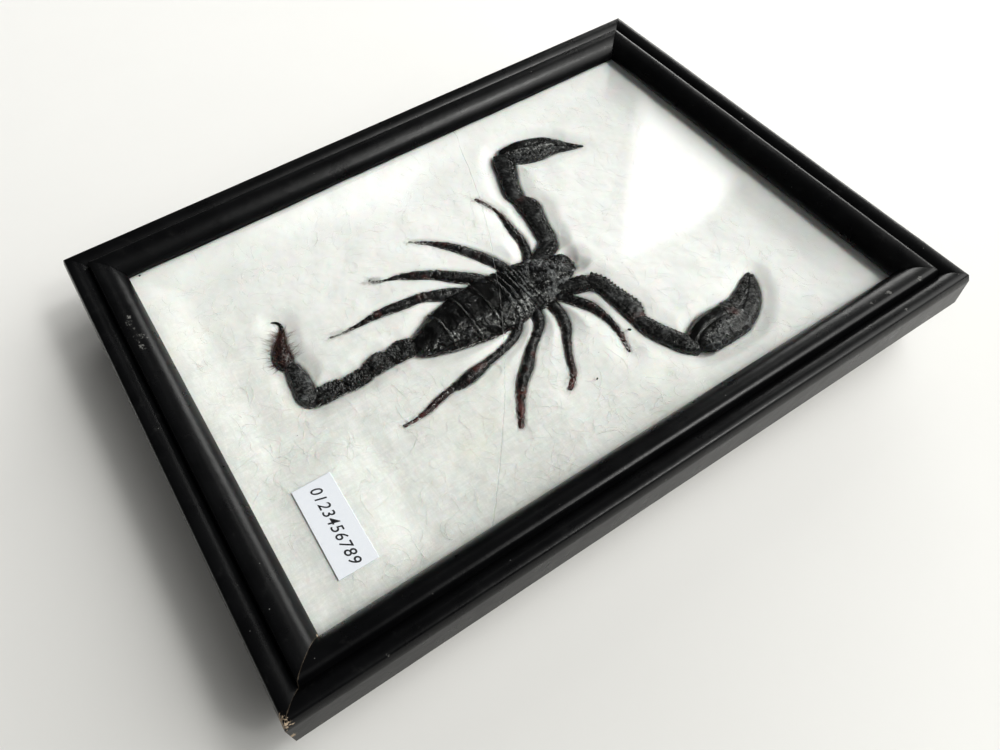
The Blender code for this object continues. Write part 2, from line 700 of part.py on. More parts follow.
def add_cotton(collection, wool):
    """A block of cotton wool whose top is a grid of heights."""
    length, depth = inside_size()
    half = (length / 2 - GAP, depth / 2 - GAP)
    cell = math.hypot(2 * half[0] / COTTON_CELLS[0], 2 * half[1] / COTTON_CELLS[1])
    bottom = BACK_THICKNESS + GAP
    marks = limb_footprints()
    bm = bmesh.new()
    matrix = Matrix.Diagonal((half[0], half[1], 1.0, 1.0))
    bmesh.ops.create_grid(bm, x_segments=COTTON_CELLS[0], y_segments=COTTON_CELLS[1], size=1.0, matrix=matrix)
    for vert in bm.verts:
        vert.co.z = cotton_height(vert.co.x, vert.co.y, marks, half, cell)
    rim = [edge for edge in bm.edges if edge.is_boundary]
    walls = bmesh.ops.extrude_edge_only(bm, edges=rim)
    for item in walls["geom"]:
        if isinstance(item, bmesh.types.BMVert):
            item.co.z = bottom
    base = [edge for edge in bm.edges if edge.is_boundary]
    bmesh.ops.contextual_create(bm, geom=base)
    mesh = mesh_of(bm, "cotton_bed")
    mesh.shade_smooth()
    mesh.set_sharp_from_angle(angle=COARSE_CREASE)
    place("cotton_bed", mesh, wool, collection)


def main():
    empty_scene()
    parts = new_collection(OBJECT_NAME)
    joined = new_collection("joined_shapes", shown=False)
    paint = principled("black_paint", (0.012, 0.012, 0.013), 0.42)
    wood = principled("stained_wood", (0.05, 0.035, 0.026), 0.62)
    back = principled("grey_board", (0.30, 0.24, 0.18), 0.80)
    glass = principled("clear_glass", (0.97, 0.98, 0.97), 0.02, IOR=1.52, Transmission_Weight=1.0)
    wool = principled("cotton_wool", (0.86, 0.86, 0.82), 0.95)
    paper = principled("label_paper", (0.86, 0.87, 0.93), 0.75)
    shell = principled("scorpion_shell", (0.022, 0.018, 0.018), 0.38)
    add_box(parts, wood, back)
    add_rails(parts, paint)
    add_glass(parts, glass)
    add_label(parts, paper)
    add_cotton(parts, wool)
    add_scorpion(parts, joined, shell)


main()
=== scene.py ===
"""Looks of a dried scorpion on cotton wool, under cracked glass in a small black frame.

X runs along the box's long side, Y along its short side, and Z up from the middle of its back.
Lengths are metres, but the frame's worn places, the scorpion, the crack and the cotton are drawn
in millimetres.
"""

import math

import bpy
import numpy as np
from mathutils import Matrix, Vector


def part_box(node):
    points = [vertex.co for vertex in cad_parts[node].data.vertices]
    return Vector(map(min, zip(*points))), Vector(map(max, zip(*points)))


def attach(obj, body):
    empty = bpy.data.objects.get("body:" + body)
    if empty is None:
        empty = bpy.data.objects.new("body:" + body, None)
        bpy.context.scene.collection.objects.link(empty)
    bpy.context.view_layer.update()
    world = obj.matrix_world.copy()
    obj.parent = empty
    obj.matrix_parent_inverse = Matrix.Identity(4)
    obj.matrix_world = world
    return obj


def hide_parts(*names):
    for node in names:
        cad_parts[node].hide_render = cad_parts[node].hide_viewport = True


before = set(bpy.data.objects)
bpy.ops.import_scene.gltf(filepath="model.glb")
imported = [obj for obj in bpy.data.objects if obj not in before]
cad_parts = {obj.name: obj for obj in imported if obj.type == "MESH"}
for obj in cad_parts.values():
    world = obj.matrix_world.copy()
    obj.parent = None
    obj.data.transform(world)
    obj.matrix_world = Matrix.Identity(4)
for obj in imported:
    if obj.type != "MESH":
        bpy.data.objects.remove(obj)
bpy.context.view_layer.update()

MM = 0.001

# Camera, solved from the frame's corners
CAMERA_AT = (-0.0789307, -0.1299731, 0.1934239)
CAMERA_RIGHT = (0.83272, -0.55245, -0.03710)
CAMERA_UP = (0.47249, 0.67406, 0.56780)
CAMERA_FORWARD = (0.28868, 0.49034, -0.82233)
FOCAL_PIXELS = 806.13
IMAGE_WIDTH = 1000
SENSOR = 36.0
NEAR_CLIP = 0.005

# Moulding
FRAME_SIZE = (0.2033, 0.1520)
UNDERSIDE = 0.0150
ARRIS = 0.0241
LIP_UNDERSIDE = 0.0222
RAIL_WIDTH = 0.0139
REBATE = 0.0016
# The curves of its bead and then its ovolo, each a shoulder and a top: centre (in from the outside,
# up), radius, first and last angle, points
CURVES = [
    ((0.00145, 0.02560), 0.00098, 155, 100, 7),
    ((0.00200, 0.02205), 0.00460, 95, 33, 14),
    ((0.00705, 0.02630), 0.00085, 165, 105, 7),
    ((0.00760, 0.02073), 0.00657, 94, 16.5, 22),
]
MITRE_GAP = 0.00012
RAIL_POINTS = 64
RAIL_WOBBLE = 0.00005
SHARP_ANGLE = math.radians(35)
# Worn places of the frame: (x, y, z, radius)
BARE_WOOD = [
    (-101.0, -74.4, 25.0, 1.7), (-88.0, -62.1, 23.0, 0.5), (-101.4, -76.2, 19.5, 1.0),
    (-99.0, 74.6, 25.5, 0.6), (-95.6, -75.2, 16.0, 0.7), (101.2, -75.5, 24.0, 0.5),
]
SCUFFS = [
    (-92.0, 42.8, 27.2, 0.7), (-92.5, 40.3, 27.2, 1.2), (-92.1, 38.1, 27.2, 0.6),
    (-91.7, 34.2, 27.2, 1.7), (-92.4, 30.6, 27.2, 0.9), (-95.7, 41.1, 26.8, 0.4),
    (-95.7, 50.4, 26.5, 0.4), (-87.2, -70.4, 27.2, 0.5), (-63.4, -69.7, 27.2, 0.4),
    (-77.6, -75.0, 26.2, 0.4), (72.0, -67.8, 27.2, 0.8), (78.0, -67.9, 27.2, 0.9),
    (88.3, -69.2, 27.2, 0.9), (77.6, -74.0, 26.6, 0.5), (84.8, 11.6, 27.0, 0.4),
    (97.6, 8.1, 26.2, 0.4),
]

# Body and limbs: each row is (x, y, z, half width, half height). The whole is then scaled and shifted.
SCORPION_SCALE = 0.9725
SCORPION_SHIFT = (-1.5, -3.1, 2.6)
ABDOMEN = [
    (-30.5, -2.0, 12.6, 3.2, 2.6), (-27.5, -2.0, 12.8, 4.9, 3.3), (-24.0, -1.8, 13.0, 6.4, 3.7),
    (-21.2, -1.6, 13.1, 7.6, 3.9), (-17.0, -1.5, 13.1, 8.7, 4.0), (-13.4, -1.4, 13.1, 9.5, 4.1),
    (-9.5, -1.4, 13.0, 10.1, 4.1), (-5.6, -1.4, 13.0, 10.3, 4.1), (-1.0, -1.4, 13.0, 10.2, 4.0),
    (1.2, -1.4, 13.0, 9.9, 4.0), (3.0, -1.4, 13.0, 9.5, 4.0), (5.2, -1.4, 13.0, 9.0, 3.9),
]
TERGITE_EDGES = (-30.5, -21.2, -13.6, -6.4, -0.7, 1.3, 3.1, 5.2)
CARAPACE = [
    (4.0, -1.4, 13.0, 8.8, 3.8), (6.2, -1.4, 13.0, 9.3, 4.0), (10.0, -1.4, 13.0, 9.1, 4.0),
    (14.0, -1.3, 13.1, 8.0, 3.8), (17.5, -1.0, 13.3, 6.0, 3.4), (20.2, -0.7, 13.5, 4.9, 3.0),
    (22.3, -0.4, 13.6, 3.8, 2.4), (23.6, -0.3, 13.6, 2.3, 1.6), (24.1, -0.3, 13.6, 0.9, 0.7),
]
CHELICERAE = [(20.2, 1.6), (20.2, -2.6)]
TAIL = [
    [(-29.8, -1.2, 12.8, 2.4, 2.2), (-31.5, -0.8, 12.9, 3.4, 2.9), (-34.5, -0.5, 13.0, 3.8, 3.1),
     (-36.5, -0.8, 12.9, 3.2, 2.8), (-38.2, -1.2, 12.8, 2.2, 2.1)],
    [(-37.6, -1.2, 12.8, 2.2, 2.1), (-39.4, -0.7, 12.9, 3.2, 2.8), (-42.0, -0.5, 13.0, 3.6, 3.0),
     (-44.0, -1.0, 12.9, 3.1, 2.7), (-46.0, -1.6, 12.8, 2.2, 2.0)],
    [(-45.2, -1.8, 12.8, 2.1, 2.0), (-47.0, -1.9, 12.9, 2.7, 2.6), (-49.5, -1.9, 12.9, 2.9, 2.8),
     (-51.3, -2.1, 12.9, 2.6, 2.6), (-53.0, -2.3, 12.8, 2.0, 2.0)],
    [(-52.2, -2.2, 12.8, 2.0, 2.0), (-54.0, -1.6, 12.9, 2.8, 2.6), (-56.5, -1.1, 13.0, 3.3, 2.8),
     (-59.2, -1.1, 13.0, 3.1, 2.8), (-61.5, -1.0, 12.9, 2.4, 2.3)],
    [(-61.2, -2.2, 12.9, 2.2, 2.2), (-62.6, 0.0, 13.0, 2.8, 2.6), (-62.6, 4.5, 13.1, 2.8, 2.7),
     (-62.3, 9.0, 13.1, 2.5, 2.5), (-62.3, 12.8, 13.0, 1.8, 1.8)],
]
TAIL_SLIM = 0.84
TELSON = [
    (-62.3, 11.8, 13.0, 1.5, 1.5), (-63.1, 14.5, 13.1, 2.5, 2.4), (-62.9, 17.5, 13.2, 2.5, 2.4),
    (-61.8, 20.5, 13.2, 1.9, 1.9), (-60.3, 23.0, 13.2, 1.1, 1.1), (-59.1, 25.6, 13.3, 0.7, 0.7),
    (-58.7, 27.6, 13.4, 0.5, 0.5), (-59.4, 29.0, 13.5, 0.4, 0.4), (-60.6, 29.8, 13.6, 0.2, 0.2),
]

# Legs, from the body to the claw: the rows whose joints they bend at, then (x, y, z, radius)
LEGS = {
    "far_rear": ((3.0, 5.6, 7.3), [
        (-4.0, 4.0, 11.8, 1.9), (-11.5, 9.0, 12.6, 2.1), (-16.0, 10.8, 13.4, 2.2),
        (-20.5, 12.6, 13.8, 1.7), (-26.0, 13.4, 13.9, 1.8), (-32.5, 14.3, 14.0, 1.5),
        (-37.0, 14.4, 13.8, 1.0), (-42.0, 14.3, 13.7, 0.6), (-46.8, 14.4, 13.8, 0.4),
        (-49.2, 14.8, 14.0, 0.3)]),
    "far_third": ((3.0, 4.8, 6.0), [
        (1.0, 4.5, 11.8, 2.0), (-3.5, 10.0, 12.8, 2.2), (-8.5, 14.2, 13.6, 2.2),
        (-13.0, 18.0, 14.0, 1.8), (-18.0, 21.2, 14.1, 1.6), (-22.5, 23.6, 13.9, 0.8),
        (-26.5, 24.9, 13.7, 0.5), (-28.7, 25.9, 13.9, 0.6), (-30.0, 27.2, 14.2, 0.5)]),
    "far_second": ((3.0, 4.8, 6.0), [
        (7.2, 4.0, 11.8, 2.0), (5.5, 10.0, 12.7, 1.9), (2.0, 17.2, 13.6, 1.9),
        (-1.0, 22.0, 14.1, 1.6), (-4.0, 26.0, 14.1, 1.4), (-7.0, 29.4, 13.9, 0.9),
        (-9.7, 31.8, 13.8, 0.6), (-12.4, 34.0, 14.1, 0.4)]),
    "far_first": ((3.0, 4.6, 5.4), [
        (11.5, 4.0, 11.8, 1.9), (15.0, 9.5, 12.7, 1.5), (16.3, 14.5, 13.4, 1.4),
        (16.4, 20.0, 13.9, 1.2), (17.0, 26.0, 13.9, 0.8), (17.0, 30.0, 13.6, 0.5),
        (16.0, 33.6, 13.8, 0.6), (14.2, 37.7, 14.3, 0.6)]),
    "near_rear": ((2.0, 6.0, 8.6, 9.4), [
        (0.0, -8.0, 11.6, 1.8), (-5.0, -13.8, 12.2, 1.4), (-11.0, -16.3, 12.9, 1.2),
        (-17.0, -17.7, 13.6, 1.4), (-21.5, -18.7, 13.9, 2.0), (-26.2, -19.6, 13.9, 1.8),
        (-29.0, -19.6, 13.8, 1.1), (-33.5, -20.4, 13.9, 1.1), (-39.0, -21.9, 13.8, 0.9),
        (-43.0, -22.4, 13.7, 0.5), (-46.2, -22.4, 13.8, 0.6)]),
    "near_third": ((2.0, 5.8, 7.4), [
        (5.0, -8.5, 11.6, 2.0), (2.8, -14.5, 12.3, 1.6), (-1.0, -18.0, 13.0, 1.3),
        (-5.0, -21.3, 13.6, 1.5), (-9.0, -25.4, 14.0, 1.8), (-12.8, -28.6, 14.0, 1.6),
        (-16.0, -32.6, 13.9, 1.1), (-19.0, -37.0, 13.9, 1.0), (-21.3, -40.5, 14.0, 0.6)]),
    "near_second": ((2.0, 3.2, 5.6), [
        (10.0, -8.5, 11.6, 2.0), (9.6, -15.5, 12.4, 1.7), (8.0, -20.2, 13.2, 1.5),
        (5.0, -24.8, 13.9, 1.1), (2.0, -30.0, 14.0, 1.0), (0.2, -34.0, 13.9, 0.8),
        (-1.5, -36.0, 13.8, 0.8), (-4.0, -38.0, 13.9, 0.6)]),
    "near_first": ((3.0, 4.5, 6.0), [
        (13.0, -8.0, 11.6, 2.0), (16.0, -13.8, 12.4, 1.8), (18.0, -18.0, 13.2, 1.7),
        (19.0, -23.2, 13.9, 1.2), (19.0, -28.2, 14.0, 0.9), (18.5, -32.0, 13.8, 0.7),
        (17.6, -35.0, 13.7, 0.6), (17.0, -37.3, 13.8, 0.4)]),
}
# How toothed, dull and dusty each piece of an arm is. The far arm is all at least this dull, which paints it
# greyer as painted sheen.
FAR_ARM_DULL_AND_SHEEN = 0.75
ARM_LOOKS = ((0.4, 0.65, 0.15), (1.2, 0.75, 0.18), (0.6, 0.30, 0.10))
FAR_ARM = [
    [(12.0, 3.0, 12.2, 3.0, 2.6), (18.5, 6.2, 12.5, 2.7, 2.6), (22.5, 8.5, 12.8, 2.7, 2.6),
     (23.8, 10.4, 13.0, 2.0, 2.0)],
    [(22.8, 8.0, 13.0, 2.0, 2.0), (23.6, 10.8, 13.1, 2.7, 2.5), (24.6, 15.8, 13.2, 2.7, 2.7),
     (25.9, 21.2, 13.3, 3.1, 2.8), (26.6, 25.4, 13.3, 3.5, 2.8), (26.2, 28.4, 13.2, 2.5, 2.4),
     (25.9, 30.2, 13.1, 1.8, 1.8)],
    [(26.0, 28.8, 13.1, 2.0, 2.0), (25.9, 31.8, 13.2, 2.8, 2.6), (27.2, 36.5, 13.3, 2.9, 2.9),
     (29.6, 42.0, 13.3, 3.2, 3.0), (31.6, 47.0, 13.3, 3.6, 2.9), (32.8, 50.3, 13.2, 2.8, 2.3)],
]
FAR_HAND = [
    (31.8, 50.3, 13.1, 2.2, 2.0), (34.5, 49.3, 13.2, 3.8, 2.9), (38.5, 47.9, 13.2, 5.2, 3.4),
    (43.0, 46.5, 13.2, 5.5, 3.4), (47.0, 45.4, 13.2, 4.6, 3.0), (50.0, 43.8, 13.2, 3.1, 2.4),
]
FAR_FINGERS = [
    [(46.8, 46.8, 13.4, 3.0, 2.2), (50.5, 44.6, 13.5, 2.1, 1.8), (53.2, 41.9, 13.6, 1.3, 1.3),
     (55.5, 39.6, 13.8, 0.8, 0.8), (57.5, 37.8, 14.0, 0.3, 0.3)],
    [(46.6, 44.0, 12.9, 2.8, 2.0), (50.2, 42.4, 13.0, 1.9, 1.6), (53.2, 40.4, 13.2, 1.1, 1.1),
     (55.6, 38.7, 13.5, 0.4, 0.4)],
]
NEAR_ARM = [
    [(12.0, -6.0, 12.2, 3.0, 2.6), (18.0, -8.8, 12.5, 2.7, 2.6), (22.2, -10.2, 12.8, 2.8, 2.6),
     (24.3, -11.8, 13.0, 2.0, 2.0)],
    [(23.6, -9.2, 13.4, 2.1, 1.9), (24.8, -12.2, 13.7, 2.6, 2.3), (25.6, -16.8, 13.8, 2.6, 2.4),
     (26.3, -21.8, 13.8, 3.0, 2.4), (26.7, -25.2, 13.8, 3.3, 2.4), (26.2, -28.3, 13.6, 2.6, 2.1),
     (25.8, -30.6, 13.5, 1.8, 1.7)],
    [(25.9, -29.0, 13.5, 1.9, 1.8), (26.2, -32.0, 13.6, 2.5, 2.2), (27.4, -36.2, 13.6, 2.8, 2.4),
     (29.3, -40.6, 13.6, 2.9, 2.5), (31.5, -44.8, 13.6, 2.9, 2.5), (34.2, -47.3, 13.4, 2.1, 2.0)],
]
NEAR_HAND = [
    (32.5, -47.4, 13.0, 2.0, 2.0), (34.8, -46.2, 13.1, 4.2, 3.2), (38.5, -45.0, 13.2, 5.6, 3.7),
    (43.5, -44.6, 13.2, 6.0, 3.8), (48.5, -44.6, 13.2, 5.6, 3.5), (51.5, -44.0, 13.2, 4.8, 3.0),
]
NEAR_FINGERS = [
    [(48.0, -41.6, 13.4, 3.0, 2.4), (52.5, -41.2, 13.4, 2.6, 2.1), (56.5, -39.2, 13.4, 2.1, 1.7),
     (60.0, -36.6, 13.4, 1.3, 1.1), (63.4, -34.8, 13.4, 0.4, 0.4)],
    [(48.0, -47.0, 12.9, 3.4, 2.5), (53.0, -45.4, 12.9, 3.0, 2.3), (57.5, -42.3, 13.0, 2.6, 1.9),
     (61.0, -38.8, 13.1, 1.8, 1.4), (63.6, -35.6, 13.2, 0.6, 0.6)],
]

# Eyes: how far along the body, their radius, how far each is from the middle, and how deep they sit
EYES_ALONG = 14.0
EYE_RADIUS = 0.38
EYE_APART = 0.62
EYE_SUNK = 0.12

# Skin: how far its features fade at its ends, and the relief that counts as a full peak
END_MARGIN = 0.6
PEAK_HEIGHT = 0.36
# Hairs: how many are tried on a skin, their length, thickness and lean, and where along it they stand
BULB_HAIRS = (700, 4.0, 0.055, 0.35, (0.10, 0.72))
LEG_HAIRS = (150, 1.05, 0.04, 0.4)
CLAW_HAIRS = (16, 1.0, 0.035, 0.4)
TAIL_HAIRS = (14, 1.1, 0.035, 0.4)
HAIR_POINTS = 5

# Crack across the pane, from its far edge to its near one: (x, y). It is then scaled and shifted.
CRACK_SCALE = 0.988
CRACK_SHIFT = (-1.0, -1.6)
CRACK = [
    (24.0, 63.0), (21.2, 56.0), (18.3, 46.3), (14.1, 33.6), (11.0, 26.2), (6.8, 16.4), (2.6, 7.6),
    (-1.7, -1.5), (-5.4, -8.4), (-11.7, -19.0), (-16.1, -25.8), (-21.0, -33.0), (-25.7, -39.3),
    (-31.9, -47.3), (-35.8, -52.2), (-44.0, -62.0),
]
CRACK_GAP = 0.05
CRACK_SLANT = (0.14, 0.42)
CRACK_WAVE = 0.011
CRACK_STEP = 1.2
CRACK_WANDER = 0.06
GLASS_TOP = 0.0219
GLASS_THICKNESS = 0.0020

# How far up a limb the cotton reaches, as a share of its half height: the body, then legs and tips
SUNK = 0.0
FAR_SUNK = (0.35, 1.25)
NEAR_SUNK = (0.10, 0.45)
TIP_SINKS = (0.68, 0.97)

UNDER_GLASS = 19.7
COTTON_LEVEL = 16.8
COTTON_RIM_LEVEL = 19.2
COTTON_RIM = 14.0
COTTON_STEP = 0.52
COTTON_REACH = 5.2
# The cotton rises to just below the label, and falls off over a short distance beside it
CARD_GAP = 0.25
CARD_REACH = 13.0
COTTON_BOTTOM = 3.3
# Its unevenness: height, size, seed and octaves of the swells, and of the fluff
COTTON_SWELLS = (0.35, 17.0, 201, 3)
COTTON_FLUFF = ((0.05, 3.4, 211, 3), (0.02, 1.1, 221, 2))
COTTON_SMOOTHINGS = 2
# Painted light: it pales along this way, per metre, between these limits
COTTON_PAINTED_LIGHT_WAY = (9.0, 9.0, 0.0)
COTTON_PAINTED_LIGHT_LIMITS = (-0.8, 0.35)
# Loose fibres: how many lie on it, how far out, their thickness from end to end, and the wisps that
# lie over each leg tip
LYING_FIBRES = 2000
FIBRE_FIELD = (86, 61)
FIBRE_RADII = (0.012, 0.022, 0.026, 0.028, 0.026, 0.022, 0.012)
TIP_WISPS = {"far": 90, "near": 30}
# Crumbs: (x, y, z, radius)
SPECKS = [
    (2.4, -41.6, 17.15, 0.28), (19.3, -33.8, 17.20, 0.42), (-15.6, 19.7, 16.9, 0.16),
    (-16.0, 16.7, 16.9, 0.14), (-85.0, 62.6, 19.3, 0.42), (-61.0, 5.0, 16.9, 0.10),
    (-12.0, 17.5, 16.9, 0.09), (33.0, -13.5, 16.9, 0.12), (-70.0, -12.0, 16.9, 0.10),
    (8.0, -35.0, 16.9, 0.09), (46.0, -37.5, 16.9, 0.10), (-38.0, 30.0, 16.9, 0.08),
]

# Digits on the label, in metres: the ink is raised by its thickness
LABEL_TEXT = "0123456789"
LABEL_TURN = math.radians(-91.0)
DIGIT_SIZE = 0.0040
DIGIT_SHEAR = 0.28
DIGIT_SPACING = 1.14
DIGIT_WEIGHT = 0.00002
INK_THICKNESS = 0.00002

# Light: the way in which the room glows most, how far that reaches, and its least and greatest glow
BRIGHT_WAY = (0.67, -0.32, 0.67)
BRIGHT_REACH = (0.76, 1.0)
ROOM_GLOW = (0.055, 3.6)
ROOM_COLOUR = (0.99, 0.99, 0.965)
# The table's painted light: its colour pales along this way, per metre, between these limits
TABLE_REACH = 3.0
TABLE_PAINTED_LIGHT_WAY = (1.0, 2.6, 0.0)
TABLE_PAINTED_LIGHT_LIMITS = (-1.0, 1.0)
# Lamps: place, size and power
LAMPS = {
    "ceiling": ((0.58, -0.46, 1.05), (0.24, 0.24), 3.6),
    "near": ((0.44, -0.77, 0.95), (0.14, 0.14), 1.8),
    "fill": ((-0.90, -0.50, 1.50), (1.00, 1.00), 2.6),
    "side": ((1.30, 0.78, 0.44), (1.10, 0.50), 9.0),
}
# Windows that the pane mirrors: place, glow, how soft the edge is, and the corners across and up it
WINDOWS = {
    "window": (
        (1.30, 1.16, 1.50), 4.8, 0.035,
        [(0.12, -0.205), (0.083, 0.245), (-0.143, 0.088), (-0.195, -0.027)],
    ),
    "upper_window": (
        (0.50, 1.66, 1.50), 1.6, 0.05,
        [(-0.35, -0.07), (0.33, -0.08), (0.33, 0.05), (-0.10, 0.09)],
    ),
}
WINDOW_SIZE = 1.0
SEED = 7


# Noise and measures of arrays of points

def lattice(cell, seed):
    """A number from 0 to 1 that always comes out the same for the same whole-numbered cell."""
    mixed = seed * 26544357
    for axis, prime in enumerate((73856093, 19349663, 83492791)):
        mixed = mixed ^ (cell[..., axis] * prime)
    mixed = ((mixed ^ (mixed >> 13)) * 1274126177) & 0x7FFFFFFF
    mixed = mixed ^ (mixed >> 15)
    return (mixed & 0xFFFFF) / 0xFFFFF


def smooth_noise(points, size, seed):
    """From -1 to 1, with humps about size across."""
    place = points / size
    cell = np.floor(place).astype(np.int64)
    share = place - cell
    share = share * share * (3 - 2 * share)
    total = 0.0
    for corner in np.ndindex(2, 2, 2):
        weight = np.prod(np.where(corner, share, 1 - share), axis=-1)
        total = total + weight * lattice(cell + np.array(corner), seed)
    return total * 2 - 1


def rough(points, size, seed, octaves=3):
    return sum(smooth_noise(points, size / 2**k, seed + k) / 2**k for k in range(octaves))


def uneven(points, height, size, seed, octaves):
    """Rough ground of that height."""
    return height * rough(points, size, seed, octaves)


def grains(points, size, seed):
    """Rounded grains: 1 on the top of each and 0 between them."""
    place = points / size
    cell = np.floor(place).astype(np.int64)
    nearest = np.full(points.shape[:-1], 9.0)
    for offset in np.ndindex(3, 3, 3):
        other = cell + np.array(offset) - 1
        centre = other + 0.5
        centre = centre + 0.7 * (np.stack([lattice(other, seed + k) for k in range(3)], -1) - 0.5)
        nearest = np.minimum(nearest, ((place - centre) ** 2).sum(-1))
    return np.clip(1 - nearest / 0.32, 0, 1)


def fade(value, start, end):
    """From 0 at start to 1 at end, smoothly. start may be the larger."""
    share = np.clip((value - start) / (end - start), 0, 1)
    return share * share * (3 - 2 * share)


def bump(value, centre, width):
    return np.exp(-(((value - centre) / width) ** 2))


def unit(vectors):
    """The vectors at a length of 1."""
    return vectors / np.maximum(np.linalg.norm(vectors, axis=-1, keepdims=True), 1e-9)


def distances(path):
    """How far along the path each of its points is."""
    return np.concatenate([[0.0], np.cumsum(np.linalg.norm(np.diff(path, axis=0), axis=1))])


# Skins of the scorpion, in millimetres

def set_in(points):
    """Where drawn points of the scorpion really are."""
    return np.array(points) * SCORPION_SCALE + SCORPION_SHIFT


def course(rows, step, ends):
    """Rows resampled on a smooth curve through them, with closer ones over the rounded ends."""
    rows = np.array(rows, float)
    length = distances(rows[:, :3])
    total = length[-1]
    at = np.linspace(0, total, max(6, int(total / step)) + 1)
    turn = 1 - np.cos(np.linspace(0, math.pi / 2, 7))
    at = np.unique(np.round(np.concatenate([at, ends[0] * turn, total - ends[1] * turn]), 5))
    at = at[(at >= 0) & (at <= total)]
    slope = np.gradient(rows, length, axis=0)
    i = np.clip(np.searchsorted(length, at, side="right") - 1, 0, len(rows) - 2)
    span = (length[i + 1] - length[i])[:, None]
    t = (at - length[i])[:, None] / span
    line = (2 * t**3 - 3 * t**2 + 1) * rows[i] + (t**3 - 2 * t**2 + t) * span * slope[i]
    line += (-2 * t**3 + 3 * t**2) * rows[i + 1] + (t**3 - t**2) * span * slope[i + 1]
    return line, at


def squared(angle, power):
    """Radius of a section between a circle, at power 2, and a square."""
    return (np.abs(np.cos(angle)) ** power + np.abs(np.sin(angle)) ** power) ** (-1 / power)


class Skin:
    """A dense closed tube round a limb. Its angle is 0 on top and grows towards the left of its course."""

    def __init__(self, rows, step, around, ends, power=2):
        line, along = course(rows, step, ends)
        total = along[-1]
        self.centre = line[:, :3]
        self.half = np.maximum(line[:, 3:5], 0.05)
        self.sunk = np.full(len(line), SUNK)
        for reach, distance in ((ends[0], along), (ends[1], total - along)):
            if reach:
                share = np.clip(distance / reach, 0, 1)
                self.half = self.half * np.sqrt(np.maximum(1 - (1 - share) ** 2, 0.0004))[:, None]
        way = unit(np.gradient(self.centre, along, axis=0))
        left = unit(np.cross([0.0, 0.0, 1.0], way))
        up = np.cross(way, left)
        self.angle = np.linspace(-math.pi, math.pi, around, endpoint=False)[None, :]
        self.along = along[:, None]
        self.share = self.along / total
        self.total = total
        radius = squared(self.angle, power)
        wide = (radius * self.half[:, :1] * np.sin(self.angle))[..., None]
        high = (radius * self.half[:, 1:] * np.cos(self.angle))[..., None]
        self.points = self.centre[:, None] + wide * left[:, None] + high * up[:, None]
        self.normals = self.slopes()
        self.high = np.zeros_like(self.points[..., 0])

    def slopes(self):
        round_it = np.roll(self.points, -1, 1) - np.roll(self.points, 1, 1)
        return unit(np.cross(np.gradient(self.points, axis=0), round_it))

    def inside(self):
        """1 along the limb, and 0 at its two ends."""
        return fade(self.along, 0, END_MARGIN) * fade(self.along, self.total, self.total - END_MARGIN)

    def swell(self, amount):
        self.points = self.points + self.normals * (amount * self.inside())[..., None]
        return self

    def crest(self, angle, width, height, tooth=0.0, spacing=0.9):
        """A ridge along the limb, notched into teeth by that share of its height."""
        apart = np.abs((self.angle - angle + math.pi) % (2 * math.pi) - math.pi)
        notch = 1 - tooth * (0.5 + 0.5 * np.cos(2 * math.pi * self.along / spacing)) ** 0.6
        return self.swell(height * np.exp(-((apart / width) ** 2)) * notch)

    def relieve(self, amount):
        """Swells the skin, and keeps the amount as fine relief, whose peaks the shell finish paints pale as
        painted sheen and whose hollows it paints darker as painted shade.
        """
        self.high = self.high + amount
        return self.swell(amount)

    def granulate(self, size, height, share=1.0, seed=0):
        return self.relieve(height * (grains(self.points, size, seed) - 0.35) * share)

    def roughen(self, size, height, share, seed):
        return self.relieve(height * rough(self.points, size, seed) * share)

    def settle(self):
        """Moves the finished skin to its real place."""
        self.points, self.centre = set_in(self.points), set_in(self.centre)
        self.half = self.half * SCORPION_SCALE
        return self


def strips(index, side):
    """Quads between rows of point numbers and the rows beside them."""
    return np.stack([index[:-1], index[1:], side[1:], side[:-1]], -1).reshape(-1, 4)


def closed_tube(points, first=0):
    """Points of a tube (rings, around, 3) with a middle for each end, and its quads and end triangles.
    first is the number of its first point."""
    rings, around = points.shape[:2]
    index = first + np.arange(rings * around).reshape(rings, around)
    side = np.roll(index, -1, 1)
    start, end = (np.full(around, first + rings * around + k) for k in (0, 1))
    fans = [np.stack([start, index[0], side[0]], -1), np.stack([end, side[-1], index[-1]], -1)]
    middles = np.stack([points[0].mean(0), points[-1].mean(0)])
    return np.concatenate([points.reshape(-1, 3), middles]), strips(index, side), np.concatenate(fans)


class Piece:
    """Gathers skins, with how dull, red and raised each point is and its dust and painted glints, and makes
    them one mesh.
    """

    PAINTS = ("dull", "red", "dust_and_glints", "peak")

    def __init__(self):
        self.points, self.quads, self.fans, self.count = [], [], [], 0
        self.paint = {name: [] for name in self.PAINTS}
        self.skins = []

    def add(self, skin, settled=False, **paint):
        """Adds a skin with its paint. A settled one is already drawn in its real place."""
        if not settled:
            skin.settle()
        points, quads, fans = closed_tube(skin.points, self.count)
        self.points.append(points)
        self.quads.append(quads)
        self.fans.append(fans)
        self.count += len(points)
        paint["peak"] = np.clip(0.5 + skin.high / PEAK_HEIGHT, 0, 1)
        for name in self.PAINTS:
            value = np.broadcast_to(paint.get(name, 0.0), skin.points.shape[:2])
            self.paint[name].append(np.concatenate([value.ravel(), value[0, :1], value[-1, :1]]))
        self.skins.append(skin)
        return skin

    def object(self, name, material):
        points = np.concatenate(self.points) * MM
        mesh = mesh_of(name, points, np.concatenate(self.quads), np.concatenate(self.fans))
        for paint, values in self.paint.items():
            layer = mesh.attributes.new(paint, "FLOAT", "POINT")
            layer.data.foreach_set("value", np.concatenate(values).astype(np.float32))
        return dress(name, mesh, material)


